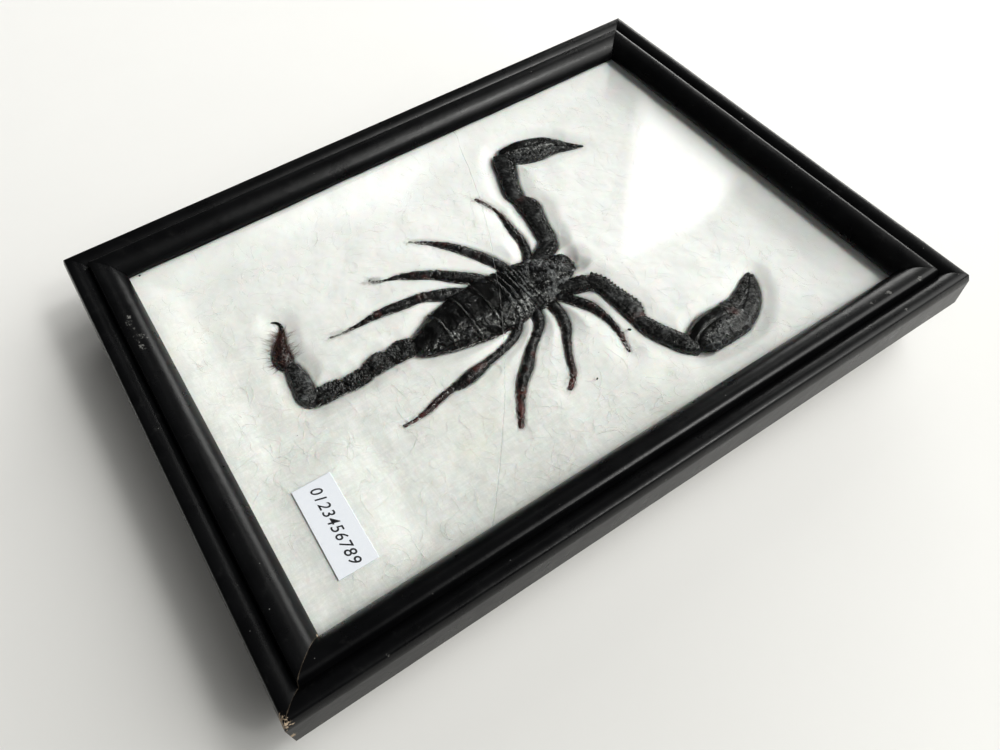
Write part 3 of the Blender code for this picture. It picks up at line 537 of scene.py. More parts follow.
def mesh_of(name, points, quads, triangles):
    mesh = bpy.data.meshes.new(name)
    mesh.vertices.add(len(points))
    mesh.vertices.foreach_set("co", np.asarray(points, np.float32).ravel())
    corners = np.concatenate([quads.ravel(), triangles.ravel()]).astype(np.int32)
    mesh.loops.add(len(corners))
    mesh.loops.foreach_set("vertex_index", corners)
    starts = np.concatenate([np.arange(len(quads)) * 4, len(quads) * 4 + np.arange(len(triangles)) * 3])
    mesh.polygons.add(len(starts))
    mesh.polygons.foreach_set("loop_start", starts.astype(np.int32))
    mesh.update(calc_edges=True)
    mesh.validate()
    mesh.shade_smooth()
    return mesh


def put(name, data):
    """A new object in the scene."""
    obj = bpy.data.objects.new(name, data)
    bpy.context.scene.collection.objects.link(obj)
    return obj


def dress(name, mesh, material, replaces=()):
    """An object of that mesh and finish that rides on the box."""
    obj = put(name, mesh)
    mesh.materials.append(material)
    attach(obj, "root")
    if replaces:
        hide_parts(*replaces)
    return obj


def tubes(paths, radii):
    """Thin three-sided tubes along paths (n, k, 3), with radii (n, k): points, quads and end triangles."""
    n, k = radii.shape
    way = unit(np.gradient(paths, axis=1))
    helper = np.where(np.abs(way[..., 2:]) > 0.8, [1.0, 0.0, 0.0], [0.0, 0.0, 1.0])
    across = unit(np.cross(helper, way))
    up = np.cross(way, across)
    turn = np.arange(3) * 2 * math.pi / 3
    ring = across[:, :, None] * np.cos(turn)[:, None] + up[:, :, None] * np.sin(turn)[:, None]
    points = paths[:, :, None] + ring * radii[:, :, None, None]
    index = np.arange(n * k * 3).reshape(n, k, 3)
    side = np.roll(index, -1, 2)
    quads = np.stack([index[:, :-1], side[:, :-1], side[:, 1:], index[:, 1:]], -1).reshape(-1, 4)
    return points.reshape(-1, 3), quads, np.concatenate([index[:, 0, [0, 2, 1]], index[:, -1]])


# Materials

class Nodes:
    """A node tree, with short calls that add nodes to it."""

    def __init__(self, tree):
        self.tree = tree

    def set(self, node, sockets):
        """Fills sockets with values or links. _2 is the third one, and other names are Blender's."""
        for name, value in sockets.items():
            socket = node.inputs[int(name[1:]) if name[1:].isdigit() else name.replace("_", " ")]
            if isinstance(value, bpy.types.NodeSocket):
                self.tree.links.new(value, socket)
            else:
                socket.default_value = value

    def node(self, kind, settings=None, **sockets):
        node = self.tree.nodes.new("ShaderNode" + kind)
        for key, value in (settings or {}).items():
            setattr(node, key, value)
        self.set(node, sockets)
        return node

    def math(self, operation, first, *others):
        for other in others:
            first = self.node("Math", {"operation": operation}, _0=first, _1=other).outputs[0]
        return first

    def add(self, *values):
        return self.math("ADD", *values)

    def times(self, *values):
        return self.math("MULTIPLY", *values)

    def most(self, *values):
        return self.math("MAXIMUM", *values)

    def band(self, value, low, high, to_low=0.0, to_high=1.0):
        settings = {"interpolation_type": "SMOOTHSTEP"}
        return self.node("MapRange", settings, _0=value, _1=low, _2=high, _3=to_low, _4=to_high).outputs[0]

    def measure(self, operation, a, b):
        """One number from two vectors."""
        return self.node("VectorMath", {"operation": operation}, _0=a, _1=b).outputs["Value"]


class Finish(Nodes):
    """A Principled material."""

    def __init__(self, name, **sockets):
        self.material = bpy.data.materials.new(name)
        self.material.use_nodes = True
        super().__init__(self.material.node_tree)
        self.shader = self.tree.nodes["Principled BSDF"]
        self.place = self.node("TexCoord").outputs["Object"]
        self.set(self.shader, sockets)

    def painted(self, name):
        return self.node("Attribute", {"attribute_name": name}).outputs["Fac"]

    def noise(self, size, stretch=(1, 1, 1), detail=4, harshness=0.55, bend=0.0, turn=(0, 0, 0)):
        where = self.node("Mapping", Vector=self.place, Scale=stretch, Rotation=turn).outputs[0]
        return self.node(
            "TexNoise", Vector=where, Scale=1 / size, Detail=detail, Roughness=harshness, Distortion=bend
        ).outputs[0]

    def cells(self, size):
        return self.node("TexVoronoi", Vector=self.place, Scale=1 / size).outputs[0]

    def mix(self, share, a, b):
        a, b = (x if isinstance(x, bpy.types.NodeSocket) else (*x, 1.0) for x in (a, b))
        return self.node("Mix", {"data_type": "RGBA"}, _0=share, _6=a, _7=b).outputs[2]

    def relief(self, *heights):
        """Bump from (height, strength, distance in metres), one on the other."""
        normal = None
        for height, strength, distance in heights:
            node = self.node("Bump", Height=height, Strength=strength, Distance=distance)
            if normal:
                self.set(node, {"Normal": normal})
            normal = node.outputs[0]
        self.set(self.shader, {"Normal": normal})

    def done(self, colour, **sockets):
        """The material, in that colour."""
        self.set(self.shader, {"Base Color": colour, **sockets})
        return self.material


def mottled(name, rough, size, dark, light, detail=4, height=0.0):
    """A plain finish, mottled between two colours and embossed by that height."""
    f = Finish(name, Roughness=rough)
    spots = f.noise(size, detail=detail)
    if height:
        f.relief((spots, 0.15, height))
    return f.done(f.mix(spots, dark, light))


def shell_finish(name, gloss):
    """Scorpion shell: black, duller and greyer where it is granular, and red-brown at the thin ends, with
    painted shade in its hollows, painted sheen on its peaks, and pale dust that on the abdomen is painted
    glints.
    """
    f = Finish(name, Specular_IOR_Level=0.36)
    dull, red, dust_and_glints, peak = (f.painted(paint) for paint in Piece.PAINTS)
    patches = f.band(f.noise(0.0018), 0.35, 0.7)
    black = f.mix(patches, (0.0012, 0.0012, 0.0014), (0.0042, 0.0038, 0.0038))
    grey = f.mix(patches, (0.0050, 0.0056, 0.0068), (0.0185, 0.0190, 0.0210))
    warm = f.mix(patches, (0.030, 0.009, 0.008), (0.140, 0.038, 0.032))
    colour = f.mix(red, f.mix(dull, black, grey), warm)
    # Painted shade: the hollows of the fine relief are darkened nearly to black.
    colour = f.mix(f.times(f.band(peak, 0.54, 0.20), 0.92), colour, (0.0010, 0.0010, 0.0011))
    # Painted sheen: the peaks of the fine relief turn grey, most where the shell is dull.
    top = f.times(f.band(peak, 0.60, 0.90), f.add(f.times(dull, 0.75), 0.08))
    colour = f.mix(top, colour, (0.120, 0.123, 0.127))
    specks = f.band(f.cells(0.0007), 0.34, 0.12)
    film = f.band(f.noise(0.0009, detail=6, harshness=0.7), 0.46, 0.64)
    # Pale specks and film where the dust paint lies; on the abdomen that paint carries painted glints.
    colour = f.mix(f.times(dust_and_glints, f.most(specks, film)), colour, (0.30, 0.30, 0.295))
    wear = f.times(f.add(f.noise(0.0012, detail=5), -0.5), 0.24)
    f.relief((f.noise(0.0011, detail=5), 0.60, 0.00022), (f.cells(0.00022), 0.60, 0.00006))
    return f.done(colour, Roughness=f.add(f.times(dull, 0.20), gloss, wear))


def cotton_finish():
    """Cotton wool: off-white, cloudy, with faint yellow stains, lying fibres, and painted light that pales it
    towards the far right.
    """
    f = Finish("cotton_wool", Roughness=0.95, Sheen_Weight=0.25, Sheen_Roughness=0.6, Specular_IOR_Level=0.15)
    clouds = f.band(f.noise(0.009, detail=5), 0.35, 0.65)
    colour = f.mix(clouds, (0.70, 0.705, 0.685), (0.76, 0.763, 0.743))
    stain = f.band(f.noise(0.024, detail=3), 0.56, 0.74)
    colour = f.mix(f.times(stain, 0.40), colour, (0.88, 0.86, 0.76))
    # Painted light: the cotton pales towards the far right.
    far = f.measure("DOT_PRODUCT", f.place, COTTON_PAINTED_LIGHT_WAY)
    colour = f.mix(f.band(far, *COTTON_PAINTED_LIGHT_LIMITS, 0.0, 0.97), colour, (0.98, 0.98, 0.97))
    fibres = f.noise(0.0010, stretch=(1, 0.22, 1), detail=6, harshness=0.7, bend=1.2, turn=(0, 0, 0.5))
    crossing = f.noise(0.0012, stretch=(0.22, 1, 1), detail=6, harshness=0.7, bend=1.2, turn=(0, 0, 0.2))
    thin = f.times(f.band(f.times(fibres, crossing), 0.16, 0.40), 0.5)
    f.relief((fibres, 0.09, 0.00018), (crossing, 0.11, 0.00018))
    colour = f.mix(thin, colour, (0.93, 0.93, 0.915))
    return f.done(colour, Subsurface_Weight=0.25, Subsurface_Scale=0.0012)


def paint_finish():
    """Satin black paint, dusty, with pale scuffs, and bare wood at its worn places and one mitre."""
    f = Finish("frame_paint", Specular_IOR_Level=0.24)
    cloud = f.band(f.noise(0.010, detail=4), 0.3, 0.7)
    colour = f.mix(cloud, (0.0034, 0.0035, 0.0040), (0.0060, 0.0062, 0.0068))
    ragged = f.add(f.noise(0.0006, detail=5), -0.5)

    def spots(places):
        worn = 0.0
        for *place, radius in np.array(places) * MM:
            away = f.add(f.measure("DISTANCE", f.place, place), f.times(ragged, 3.0 * radius))
            worn = f.most(f.band(away, radius * 1.05, radius * 0.6), worn)
        return worn

    axes = f.node("SeparateXYZ", Vector=f.place).outputs
    mitre = f.add(f.math("SUBTRACT", axes["X"], axes["Y"]), (FRAME_SIZE[0] - FRAME_SIZE[1]) / 2)
    line = f.band(f.add(f.math("ABSOLUTE", mitre, 0.0), f.times(ragged, 0.0004)), 0.00020, 0.00010)
    near = f.band(f.add(axes["X"], axes["Y"]), -0.140, -0.150)
    line = f.times(line, near, f.band(f.noise(0.004), 0.35, 0.6, 0.03, 0.22))
    lint = f.times(f.band(f.cells(0.0042), 0.040, 0.026), f.band(f.noise(0.013), 0.45, 0.6))
    film = f.times(f.band(f.noise(0.0035, detail=7, harshness=0.75), 0.56, 0.75), 0.05)
    streaks = f.band(f.noise(0.0016, stretch=(1.0, 0.5, 1.0), detail=6, harshness=0.8, bend=1.0), 0.47, 0.60)
    pale = f.most(f.times(spots(SCUFFS), f.times(streaks, 0.75)), lint, film)
    worn = f.most(spots(BARE_WOOD), line)
    wood = f.mix(f.noise(0.0007, detail=5), (0.26, 0.19, 0.13), (0.60, 0.50, 0.38))
    colour = f.mix(worn, f.mix(pale, colour, (0.22, 0.22, 0.21)), wood)
    satin = f.add(0.22, f.times(f.noise(0.006, detail=6), 0.14), f.times(f.most(worn, pale), 0.4))
    f.relief(
        (f.noise(0.0035, detail=3), 0.25, 0.0003),
        (f.noise(0.0005, detail=3), 0.12, 0.0001),
        (worn, -0.6, 0.0002),
    )
    return f.done(colour, Roughness=satin)


def wood_finish():
    f = Finish("box_wood", Roughness=0.62)
    grain = f.noise(0.0022, stretch=(0.06, 0.06, 1), detail=6, bend=0.4)
    fine = f.noise(0.0006, stretch=(0.04, 0.04, 1), detail=4)
    f.relief((grain, 0.3, 0.0003), (fine, 0.3, 0.0001))
    return f.done(f.mix(f.times(f.add(grain, fine), 0.5), (0.020, 0.014, 0.010), (0.075, 0.052, 0.036)))


def board_finish():
    f = Finish("backing_board", Roughness=0.85)
    pulp = f.noise(0.0011, detail=6, harshness=0.7)
    colour = f.mix(pulp, (0.20, 0.155, 0.11), (0.34, 0.27, 0.20))
    blot = f.times(f.band(f.noise(0.02, detail=3), 0.5, 0.8), 0.4)
    f.relief((pulp, 0.3, 0.0001))
    return f.done(f.mix(blot, colour, (0.16, 0.12, 0.085)))


def pass_lamps(f):
    """Lets lamps light what lies below, and limbs mirror them."""
    path = f.node("LightPath").outputs
    lamp = f.add(path["Is Shadow Ray"], path["Is Diffuse Ray"], path["Is Glossy Ray"])
    clear = f.node("BsdfTransparent", Color=(0.95, 0.955, 0.95, 1))
    share = f.math("MINIMUM", lamp, 1.0)
    both = f.node("MixShader", _0=share, _1=f.shader.outputs[0], _2=clear.outputs[0])
    f.set(f.tree.nodes["Material Output"], {"Surface": both.outputs[0]})


def glass_finish():
    """Clear glass that bends and mirrors what the camera sees, and lets lamps light the cotton below."""
    f = Finish("pane_glass", IOR=1.52, Transmission_Weight=1.0)
    pass_lamps(f)
    smear = f.band(f.noise(0.02, detail=5), 0.45, 0.9, 0.0, 0.03)
    return f.done((0.985, 0.99, 0.985, 1), Roughness=smear)


def crack_finish():
    """The rough broken face of the glass, with a painted reflection: greyer at the far end and white at the
    near one.
    """
    f = Finish("crack_face_painted_reflection", Roughness=0.30)
    along = f.node("SeparateXYZ", Vector=f.place).outputs["Y"]
    spots = f.band(f.noise(0.0012), 0.38, 0.62)
    # Painted reflection: the face is dark grey at the far end and white at the near one.
    grey = f.mix(spots, (0.014, 0.014, 0.013), (0.20, 0.20, 0.195))
    white = f.mix(spots, (0.24, 0.24, 0.235), (0.95, 0.95, 0.93))
    f.relief((f.noise(0.0004), 0.5, 0.0001))
    pass_lamps(f)
    return f.done(f.mix(f.band(along, 0.030, 0.000), grey, white))


# The scorpion

def abdomen():
    """Seven overlapping back plates, with a wrinkled membrane down each side."""
    skin = Skin(ABDOMEN, step=0.12, around=200, ends=(1.0, 0.5))
    x = skin.centre[:, :1] + 0.7 * (1 - np.cos(skin.angle)) + 0.15 * smooth_noise(skin.points, 2.4, 12)
    side = np.abs(skin.angle)
    back = fade(side, 1.45, 1.25)
    near = fade(-skin.angle, 0.20, 0.55) * fade(skin.angle, -1.5, -1.3)
    height = np.zeros_like(skin.points[..., 0])
    seam_glint = np.zeros_like(height)
    for rear, front in zip(TERGITE_EDGES, TERGITE_EDGES[1:]):
        here = (x >= rear) & (x < front)
        span = front - rear
        share = np.clip((x - rear) / span, 0, 1)
        low = min(1.0, span / 4.5)
        plate = (0.34 - 0.62 * share) * (0.35 + 0.65 * low)
        if rear > TERGITE_EDGES[0]:
            plate = plate + 0.16 * low * bump(x, rear + 0.20, 0.28)
            plate = plate - 0.22 * low * bump(x, rear + 0.85, 0.24) * (span > 4)
            # Painted highlight lines along each seam.
            seam_glint = np.maximum(seam_glint, bump(x, rear - 0.05, 0.16) * (0.35 + 0.65 * low))
            seam_glint = np.maximum(seam_glint, 0.7 * bump(x, rear + 0.55, 0.10) * (span > 4))
        if span < 4:
            plate = plate + 0.42 * np.sin(math.pi * share)
        height = np.where(here, plate, height)
    skin.swell(height * back)
    broken = fade(smooth_noise(skin.points, 1.7, 9), -0.25, 0.35)
    folds = 1 - np.abs(smooth_noise(skin.points * [0.45, 1, 1], 0.9, 3))
    fine = 1 - np.abs(smooth_noise(skin.points * [1, 0.7, 1], 0.45, 6))
    skin.relieve(back * (0.28 * (folds - 0.6) * (0.12 + near * broken) + 0.12 * (fine - 0.6) * near * broken))
    skin.roughen(2.3, 0.22, back, 5)
    skin.roughen(1.1, 0.13, back * (0.3 + near), 15)
    skin.swell(-0.50 * bump(side, 1.45, 0.09))
    skin.roughen(1.0, 0.40, fade(side, 1.45, 1.62) * fade(side, 2.3, 2.0), 11)
    skin.granulate(0.42, 0.10, fade(side, 1.32, 1.5) + 0.15 * back, 2)
    front_ribs = fade(x, -1.6, -0.6)
    dull = 0.05 + 0.50 * fade(side, 1.30, 1.5) + 0.30 * front_ribs
    # Painted glints: pale blots on the near flank, pale lines at the seams and pale stripes on the front
    # ribs, carried by the dust paint, stand in for the lamps' glints.
    painted_glints = broken * near * fade(smooth_noise(skin.points, 0.9, 14), 0.05, 0.4) * back
    dust_and_glints = 1.2 * seam_glint * back * (0.08 + 0.92 * near) + 1.0 * painted_glints
    dust_and_glints = dust_and_glints + 0.9 * near * front_ribs * fade(height, 0.0, 0.35) * back
    return skin, {"dull": dull, "dust_and_glints": dust_and_glints, "red": 0.25 * fade(side, 1.35, 1.6)}


def carapace():
    """The front shield: wrinkled and granular, furrowed down the middle, with its eyes on a low hump."""
    skin = Skin(CARAPACE, step=0.17, around=170, ends=(0.5, 0.8), power=2.3)
    x = skin.centre[:, :1] + 0 * skin.angle
    side = np.abs(skin.angle)
    top = fade(side, 1.5, 1.1)
    near = fade(-skin.angle, -0.15, 0.35)
    skin.swell(-0.60 * bump(skin.angle, 0, 0.13) * fade(x, 4.5, 6.5) * fade(x, 12.5, 11.0))
    skin.swell(0.55 * bump(x, 14.0, 1.7) * bump(skin.angle, 0, 0.22))
    skin.swell(-0.50 * bump(x, 8.6 + 5.5 * side, 0.65) * top)
    skin.swell(-0.45 * bump(x, 13.0 + 6.0 * side, 0.6) * top * fade(side, 0.25, 0.5))
    skin.swell(0.20 * np.cos(2 * math.pi * (x - 0.8 * side) / 1.25) * fade(x, 10.0, 7.0) * top)
    skin.swell(-0.6 * bump(skin.angle, 0, 0.28) * fade(x, 18.5, 22.5))
    skin.roughen(2.2, 0.36, top, 21)
    skin.roughen(0.9, 0.20, top, 22)
    skin.granulate(0.50, 0.18, 1.0, 23)
    patchy = fade(smooth_noise(skin.points, 1.6, 8), -0.1, 0.5)
    dust_and_glints = patchy * (0.25 + 0.9 * near) * fade(x, 4.5, 6.5)
    return skin, {"dull": 0.70, "dust_and_glints": dust_and_glints}


def eye(x, y, z):
    rows = [(x + shift, y, z, EYE_RADIUS, EYE_RADIUS) for shift in (-EYE_RADIUS, 0, EYE_RADIUS)]
    return Skin(rows, step=0.08, around=20, ends=(EYE_RADIUS, EYE_RADIUS))


def tail_segment(rows, seed):
    """A knobby ring of the tail: toothed crests along its corners that end in a point at the far end."""
    rows = [(x, y, z, wide * TAIL_SLIM, high) for x, y, z, wide, high in rows]
    skin = Skin(rows, step=0.14, around=100, ends=(0.6, 0.6), power=2.3)
    rise = 0.35 + 0.35 * fade(skin.share, 0.15, 0.6) + 0.75 * bump(skin.share, 0.80, 0.09)
    for angle in (0.60, -0.60, 1.30, -1.30, 2.3, -2.3):
        skin.crest(angle, 0.14, 0.68 * rise, 0.75, 0.95)
    skin.swell(-0.40 * bump(skin.angle, 0, 0.25) * fade(skin.share, 0.05, 0.3))
    skin.roughen(1.5, 0.50, 1.0, seed)
    skin.granulate(0.62, 0.30, 1.0, seed + 5)
    skin.granulate(0.34, 0.10, 1.0, seed + 6)
    return skin


def tail_end():
    """The fifth ring, which is long and smoother, and the sting's bulb beyond it."""
    last = Skin(TAIL[4], step=0.16, around=88, ends=(1.2, 0.6), power=2.4)
    for angle in (0.6, -0.6, 1.5, -1.5):
        last.crest(angle, 0.14, 0.30, 0.6, 0.8)
    last.roughen(2.2, 0.20, 1.0, 31).granulate(0.50, 0.08, 1.0, 32)
    bulb = Skin(TELSON, step=0.14, around=64, ends=(0.8, 0.15))
    bulb.roughen(1.8, 0.14, fade(bulb.share, 0.5, 0.3), 33)
    bulb.granulate(0.6, 0.07, fade(bulb.share, 0.5, 0.3), 34)
    return last, bulb


def leg(joints, rows, seed, sunk):
    """A leg, waisted at each joint and swollen just above it."""
    skin = Skin([(x, y, z, r * 0.92, r) for x, y, z, r in rows], 0.19, 38, (0.8, 0.25), 2.3)
    skin.sunk = sunk[0] + (sunk[1] - sunk[0]) * fade(skin.share[:, 0], *TIP_SINKS)
    length = distances(np.array(rows)[:, :3])
    narrow = np.zeros_like(skin.along)
    for joint in joints:
        at = np.interp(joint, np.arange(len(rows)), length)
        narrow = narrow - 0.20 * bump(skin.along, at, 0.35) + 0.16 * bump(skin.along, at - 0.9, 0.55)
        narrow = narrow + 0.12 * bump(skin.along, at + 0.8, 0.4)
    skin.swell(narrow * skin.half[:, :1])
    skin.crest(0.0, 0.35, 0.10, 0.35, 0.7)
    for angle in (1.2, -1.2):
        skin.crest(angle, 0.25, 0.08, 0.5, 0.6)
    skin.roughen(1.3, 0.16, 1.0, seed).granulate(0.42, 0.07, 1.0, seed + 1)
    return skin


def arm_segment(rows, seed, teeth):
    """A squared arm piece whose corners carry rows of grains, the leading one the strongest."""
    skin = Skin(rows, step=0.21, around=84, ends=(0.9, 0.9), power=3.0)
    skin.crest(0.90, 0.13, 0.62 * teeth, 0.80, 1.25)
    skin.crest(-0.62, 0.10, 0.26, 0.7, 0.8)
    skin.crest(2.2, 0.12, 0.30 * teeth, 0.7, 1.1)
    skin.crest(-2.2, 0.12, 0.26, 0.7, 1.0)
    skin.roughen(2.0, 0.14, 1.0, seed)
    lower = fade(skin.angle, -0.6, -0.8)
    skin.roughen(0.9, 0.10, 0.3 + 0.7 * lower, seed + 3)
    skin.granulate(0.62, 0.09, 0.2 + 0.8 * lower, seed + 1)
    skin.granulate(0.33, 0.05, 1.0, seed + 2)
    return skin


def hand(rows, seed):
    """The claw's palm, with rounded keels along it and a fine net of wrinkles."""
    skin = Skin(rows, step=0.22, around=108, ends=(1.6, 1.2), power=2.25)
    skin.crest(0.75, 0.30, 0.35)
    skin.crest(-0.10, 0.14, 0.34, 0.25, 1.3)
    skin.swell(-0.40 * bump(skin.angle, 0.22, 0.13))
    skin.crest(-1.1, 0.18, 0.20, 0.3, 1.0)
    net = 1 - np.abs(smooth_noise(skin.points, 0.9, seed))
    lower = fade(-skin.angle, -0.25, 0.15)
    skin.relieve(0.30 * (net**6 - 0.20) * (0.20 + 0.80 * lower))
    skin.roughen(2.6, 0.16, 1.0, seed + 1).roughen(1.0, 0.05, 1.0, seed + 3)
    skin.granulate(0.45, 0.03, 1.0, seed + 2)
    return skin


def finger(rows, seed):
    skin = Skin(rows, step=0.21, around=54, ends=(0.8, 0.2), power=2.2)
    for angle in (0.5, -0.5, -1.4, 1.4):
        skin.crest(angle, 0.14, 0.14, 0.3, 0.7)
    return skin.roughen(1.6, 0.12, 1.0, seed).granulate(0.40, 0.03, 1.0, seed + 1)


def hairs(rng, skins, count, length, thick, lean, reach=(0, 1)):
    """Fine hairs that stand out of the given skins, within that reach along each: paths and radii."""
    paths, radii = [], []
    for skin in skins:
        rings, around = skin.points.shape[:2]
        i, j = rng.integers(2, rings - 2, count), rng.integers(0, around, count)
        share = skin.share[i, 0]
        keep = (np.cos(skin.angle[0, j]) > -0.2) & (share > reach[0]) & (share < reach[1])
        i, j = i[keep], j[keep]
        root, out = skin.points[i, j], skin.normals[i, j]
        way = unit(out + rng.normal(0, lean, out.shape) + [0, 0, 0.1])
        long = length * rng.uniform(0.45, 1.1, len(i))[:, None]
        bend = rng.normal(0, 0.15, out.shape)
        t = np.linspace(0, 1, HAIR_POINTS)[None, :, None]
        path = (way[:, None] * t + bend[:, None] * t**2) * long[:, None]
        path = path + root[:, None] - 0.05 * out[:, None]
        path[..., 2] = np.minimum(path[..., 2], UNDER_GLASS)
        paths.append(path)
        radii.append(np.broadcast_to(np.linspace(thick, thick / 4, HAIR_POINTS), path.shape[:2]))
    return np.concatenate(paths), np.concatenate(radii)


def scorpion():
    rng = np.random.default_rng(SEED)
    glossy = shell_finish("shell_glossy", 0.09)
    grainy = shell_finish("shell_grainy", 0.17)

    body = Piece()
    skin, paint = abdomen()
    body.add(skin, **paint)
    skin, paint = carapace()
    top = skin.points[np.abs(skin.centre[:, 0] - EYES_ALONG).argmin(), skin.points.shape[1] // 2]
    body.add(skin, **paint)
    for side in (EYE_APART, -EYE_APART):
        body.add(eye(top[0], top[1] + side, top[2] - EYE_SUNK))
    for x, y in CHELICERAE:
        rows = [(x - 3.5, y, 12.0, 1.6, 1.6), (x, y, 12.0, 2.0, 1.9), (x + 3.8, y, 12.0, 1.2, 1.2)]
        body.add(Skin(rows, 0.2, 48, (0.6, 1.2)).granulate(0.5, 0.1), dull=0.6, red=0.2)
    body.object("scorpion_body", glossy)

    tail = Piece()
    for number, rows in enumerate(TAIL[:4]):
        tail.add(tail_segment(rows, 40 + 7 * number), dull=0.25, dust_and_glints=0.12)
    last, bulb = tail_end()
    tail.add(last, dull=1.0, dust_and_glints=0.28)
    brown = fade(bulb.share, 0.02, 0.12) * fade(bulb.share, 0.80, 0.62)
    pale = 1.4 * bump(bulb.share, 0.17, 0.07) * bump(bulb.angle, -0.5, 0.7)
    tail.add(bulb, dull=0.45, red=0.26 * brown, dust_and_glints=pale)
    tail.object("scorpion_tail", grainy)

    legs = Piece()
    for number, (name, (joints, rows)) in enumerate(LEGS.items()):
        far = name.startswith("far")
        skin = leg(joints, rows, 60 + 3 * number, FAR_SUNK if far else NEAR_SUNK)
        patches = fade(smooth_noise(skin.points, 2.6, 70 + number), 0.0, 0.6)
        tip = fade(skin.share, 0.62, 0.95)
        red = np.clip(0.55 * patches * fade(skin.share, 0.25, 0.5) + (0.25 if far else 0.9) * tip, 0, 1)
        legs.add(skin, dull=0.35 - 0.2 * tip, red=red, dust_and_glints=0.08)
    legs.object("scorpion_legs", grainy)

    claws = Piece()
    for number, arm in enumerate((FAR_ARM, NEAR_ARM)):
        for piece, (teeth, dull, dust_and_glints) in enumerate(ARM_LOOKS):
            skin = arm_segment(arm[piece], 90 + 4 * piece + number, teeth)
            # Painted sheen: the far arm is made duller and so greyer than the near one.
            dull = dull if number else max(dull, FAR_ARM_DULL_AND_SHEEN)
            faces = 0.15 + (dull - 0.15) * bump(skin.angle, 0.10, 0.60)
            joint = bump(skin.share, 1.0, 0.10) if piece == 1 else 0.0
            claws.add(skin, dull=faces, dust_and_glints=dust_and_glints, red=0.7 * joint)
    for number, (palm_rows, finger_rows) in enumerate(((FAR_HAND, FAR_FINGERS), (NEAR_HAND, NEAR_FINGERS))):
        palm = hand(palm_rows, 110 + 9 * number)
        scuff = bump(palm.angle, -0.12, 0.20) + 0.3 * fade(-palm.angle, 0.5, 0.9)
        lower = fade(-palm.angle, -0.25, 0.20)
        red = number * bump(palm.share, 0.86, 0.06) * bump(palm.angle, 0.15, 0.25)
        dust_and_glints = (1.0 - 0.3 * number) * scuff * fade(palm.share, 0.05, 0.3)
        claws.add(palm, dull=0.12 + 0.50 * lower, dust_and_glints=dust_and_glints, red=red)
        for offset, rows in enumerate(finger_rows):
            claws.add(finger(rows, 112 + 9 * number + offset), dull=0.25 + 0.35 * offset, dust_and_glints=0.30)
    claws.object("scorpion_claws", grainy)

    tufts = [
        hairs(rng, [bulb], *BULB_HAIRS),
        hairs(rng, legs.skins, *LEG_HAIRS),
        hairs(rng, claws.skins, *CLAW_HAIRS),
        hairs(rng, [last, *tail.skins[:4]], *TAIL_HAIRS),
    ]
    points, quads, ends = tubes(*(np.concatenate(parts) for parts in zip(*tufts)))
    mesh = mesh_of("scorpion_hairs", points * MM, quads, ends)
    brown = mottled("hair", 0.45, 0.003, (0.05, 0.016, 0.010), (0.16, 0.055, 0.032))
    dress("scorpion_hairs", mesh, brown, ["scorpion"])
    return body.skins + tail.skins + legs.skins + claws.skins


# Cotton wool

def cotton_grid(skins):
    """Heights of the cotton's top on a grid: it hugs each limb and rises away from it."""
    low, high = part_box("cotton_bed")
    xs = np.arange(low.x / MM, high.x / MM + COTTON_STEP / 2, COTTON_STEP)
    ys = np.arange(low.y / MM, high.y / MM + COTTON_STEP / 2, COTTON_STEP)
    x, y = np.meshgrid(xs, ys, indexing="ij")
    rim = np.minimum(high.x / MM - np.abs(x), high.y / MM - np.abs(y))
    base = COTTON_RIM_LEVEL + (COTTON_LEVEL - COTTON_RIM_LEVEL) * fade(rim, 0, COTTON_RIM)
    flat = np.stack([x, y, np.zeros_like(x)], -1)
    base = base + uneven(flat, *COTTON_SWELLS)
    level = base.copy()
    for skin in skins:
        for k in range(0, len(skin.centre), 4):
            cx, cy, cz = skin.centre[k]
            wide, high_half = skin.half[k]
            if wide < 0.1:
                continue
            near = (np.abs(x - cx) < wide + COTTON_REACH) & (np.abs(y - cy) < wide + COTTON_REACH)
            away = np.hypot(x[near] - cx, y[near] - cy)
            contact = cz + high_half * skin.sunk[k]
            under = cz - high_half * np.sqrt(np.maximum(1 - (away / wide) ** 2, 0)) - 0.1
            beside = contact + (base[near] - contact) * fade(away - wide, 0, COTTON_REACH) ** 0.8
            level[near] = np.minimum(level[near], np.where(away < wide, np.minimum(under, contact), beside))
    for _ in range(COTTON_SMOOTHINGS):
        inner = level[1:-1, 1:-1]
        inner[...] = (4 * inner + level[:-2, 1:-1] + level[2:, 1:-1] + level[1:-1, :-2] + level[1:-1, 2:]) / 8
    level = level + sum(uneven(flat, *layer) for layer in COTTON_FLUFF)
    card_low, card_high = (np.array(corner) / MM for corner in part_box("label"))
    beyond = np.maximum(np.maximum(card_low - flat, flat - card_high), 0)
    share = fade(np.hypot(beyond[..., 0], beyond[..., 1]), CARD_REACH, 0)
    level = level + (card_low[2] - CARD_GAP - level) * share
    return x, y, np.minimum(level, UNDER_GLASS)


def cotton(skins):
    x, y, z = cotton_grid(skins)
    rows, columns = x.shape
    top = np.stack([x, y, z], -1).reshape(-1, 3)
    index = np.arange(rows * columns).reshape(rows, columns)
    quads = strips(index[:, :-1], index[:, 1:])
    edge = np.concatenate([index[:, 0], index[-1, 1:], index[-2::-1, -1], index[0, -2:0:-1]])
    skirt = top[edge] * [1, 1, 0] + [0, 0, COTTON_BOTTOM]
    below = len(top) + np.arange(len(edge))
    after = np.roll(np.arange(len(edge)), -1)
    walls = np.stack([edge, below, below[after], edge[after]], -1)
    centre = len(top) + len(edge)
    floor = np.stack([np.full(len(edge), centre), below[after], below], -1)
    points = np.concatenate([top, skirt, [[0, 0, COTTON_BOTTOM]]]) * MM
    mesh = mesh_of("cotton_wool", points, np.concatenate([quads, walls]), floor)
    wool = dress("cotton_wool", mesh, cotton_finish(), ["cotton_bed"])
    return x, y, z


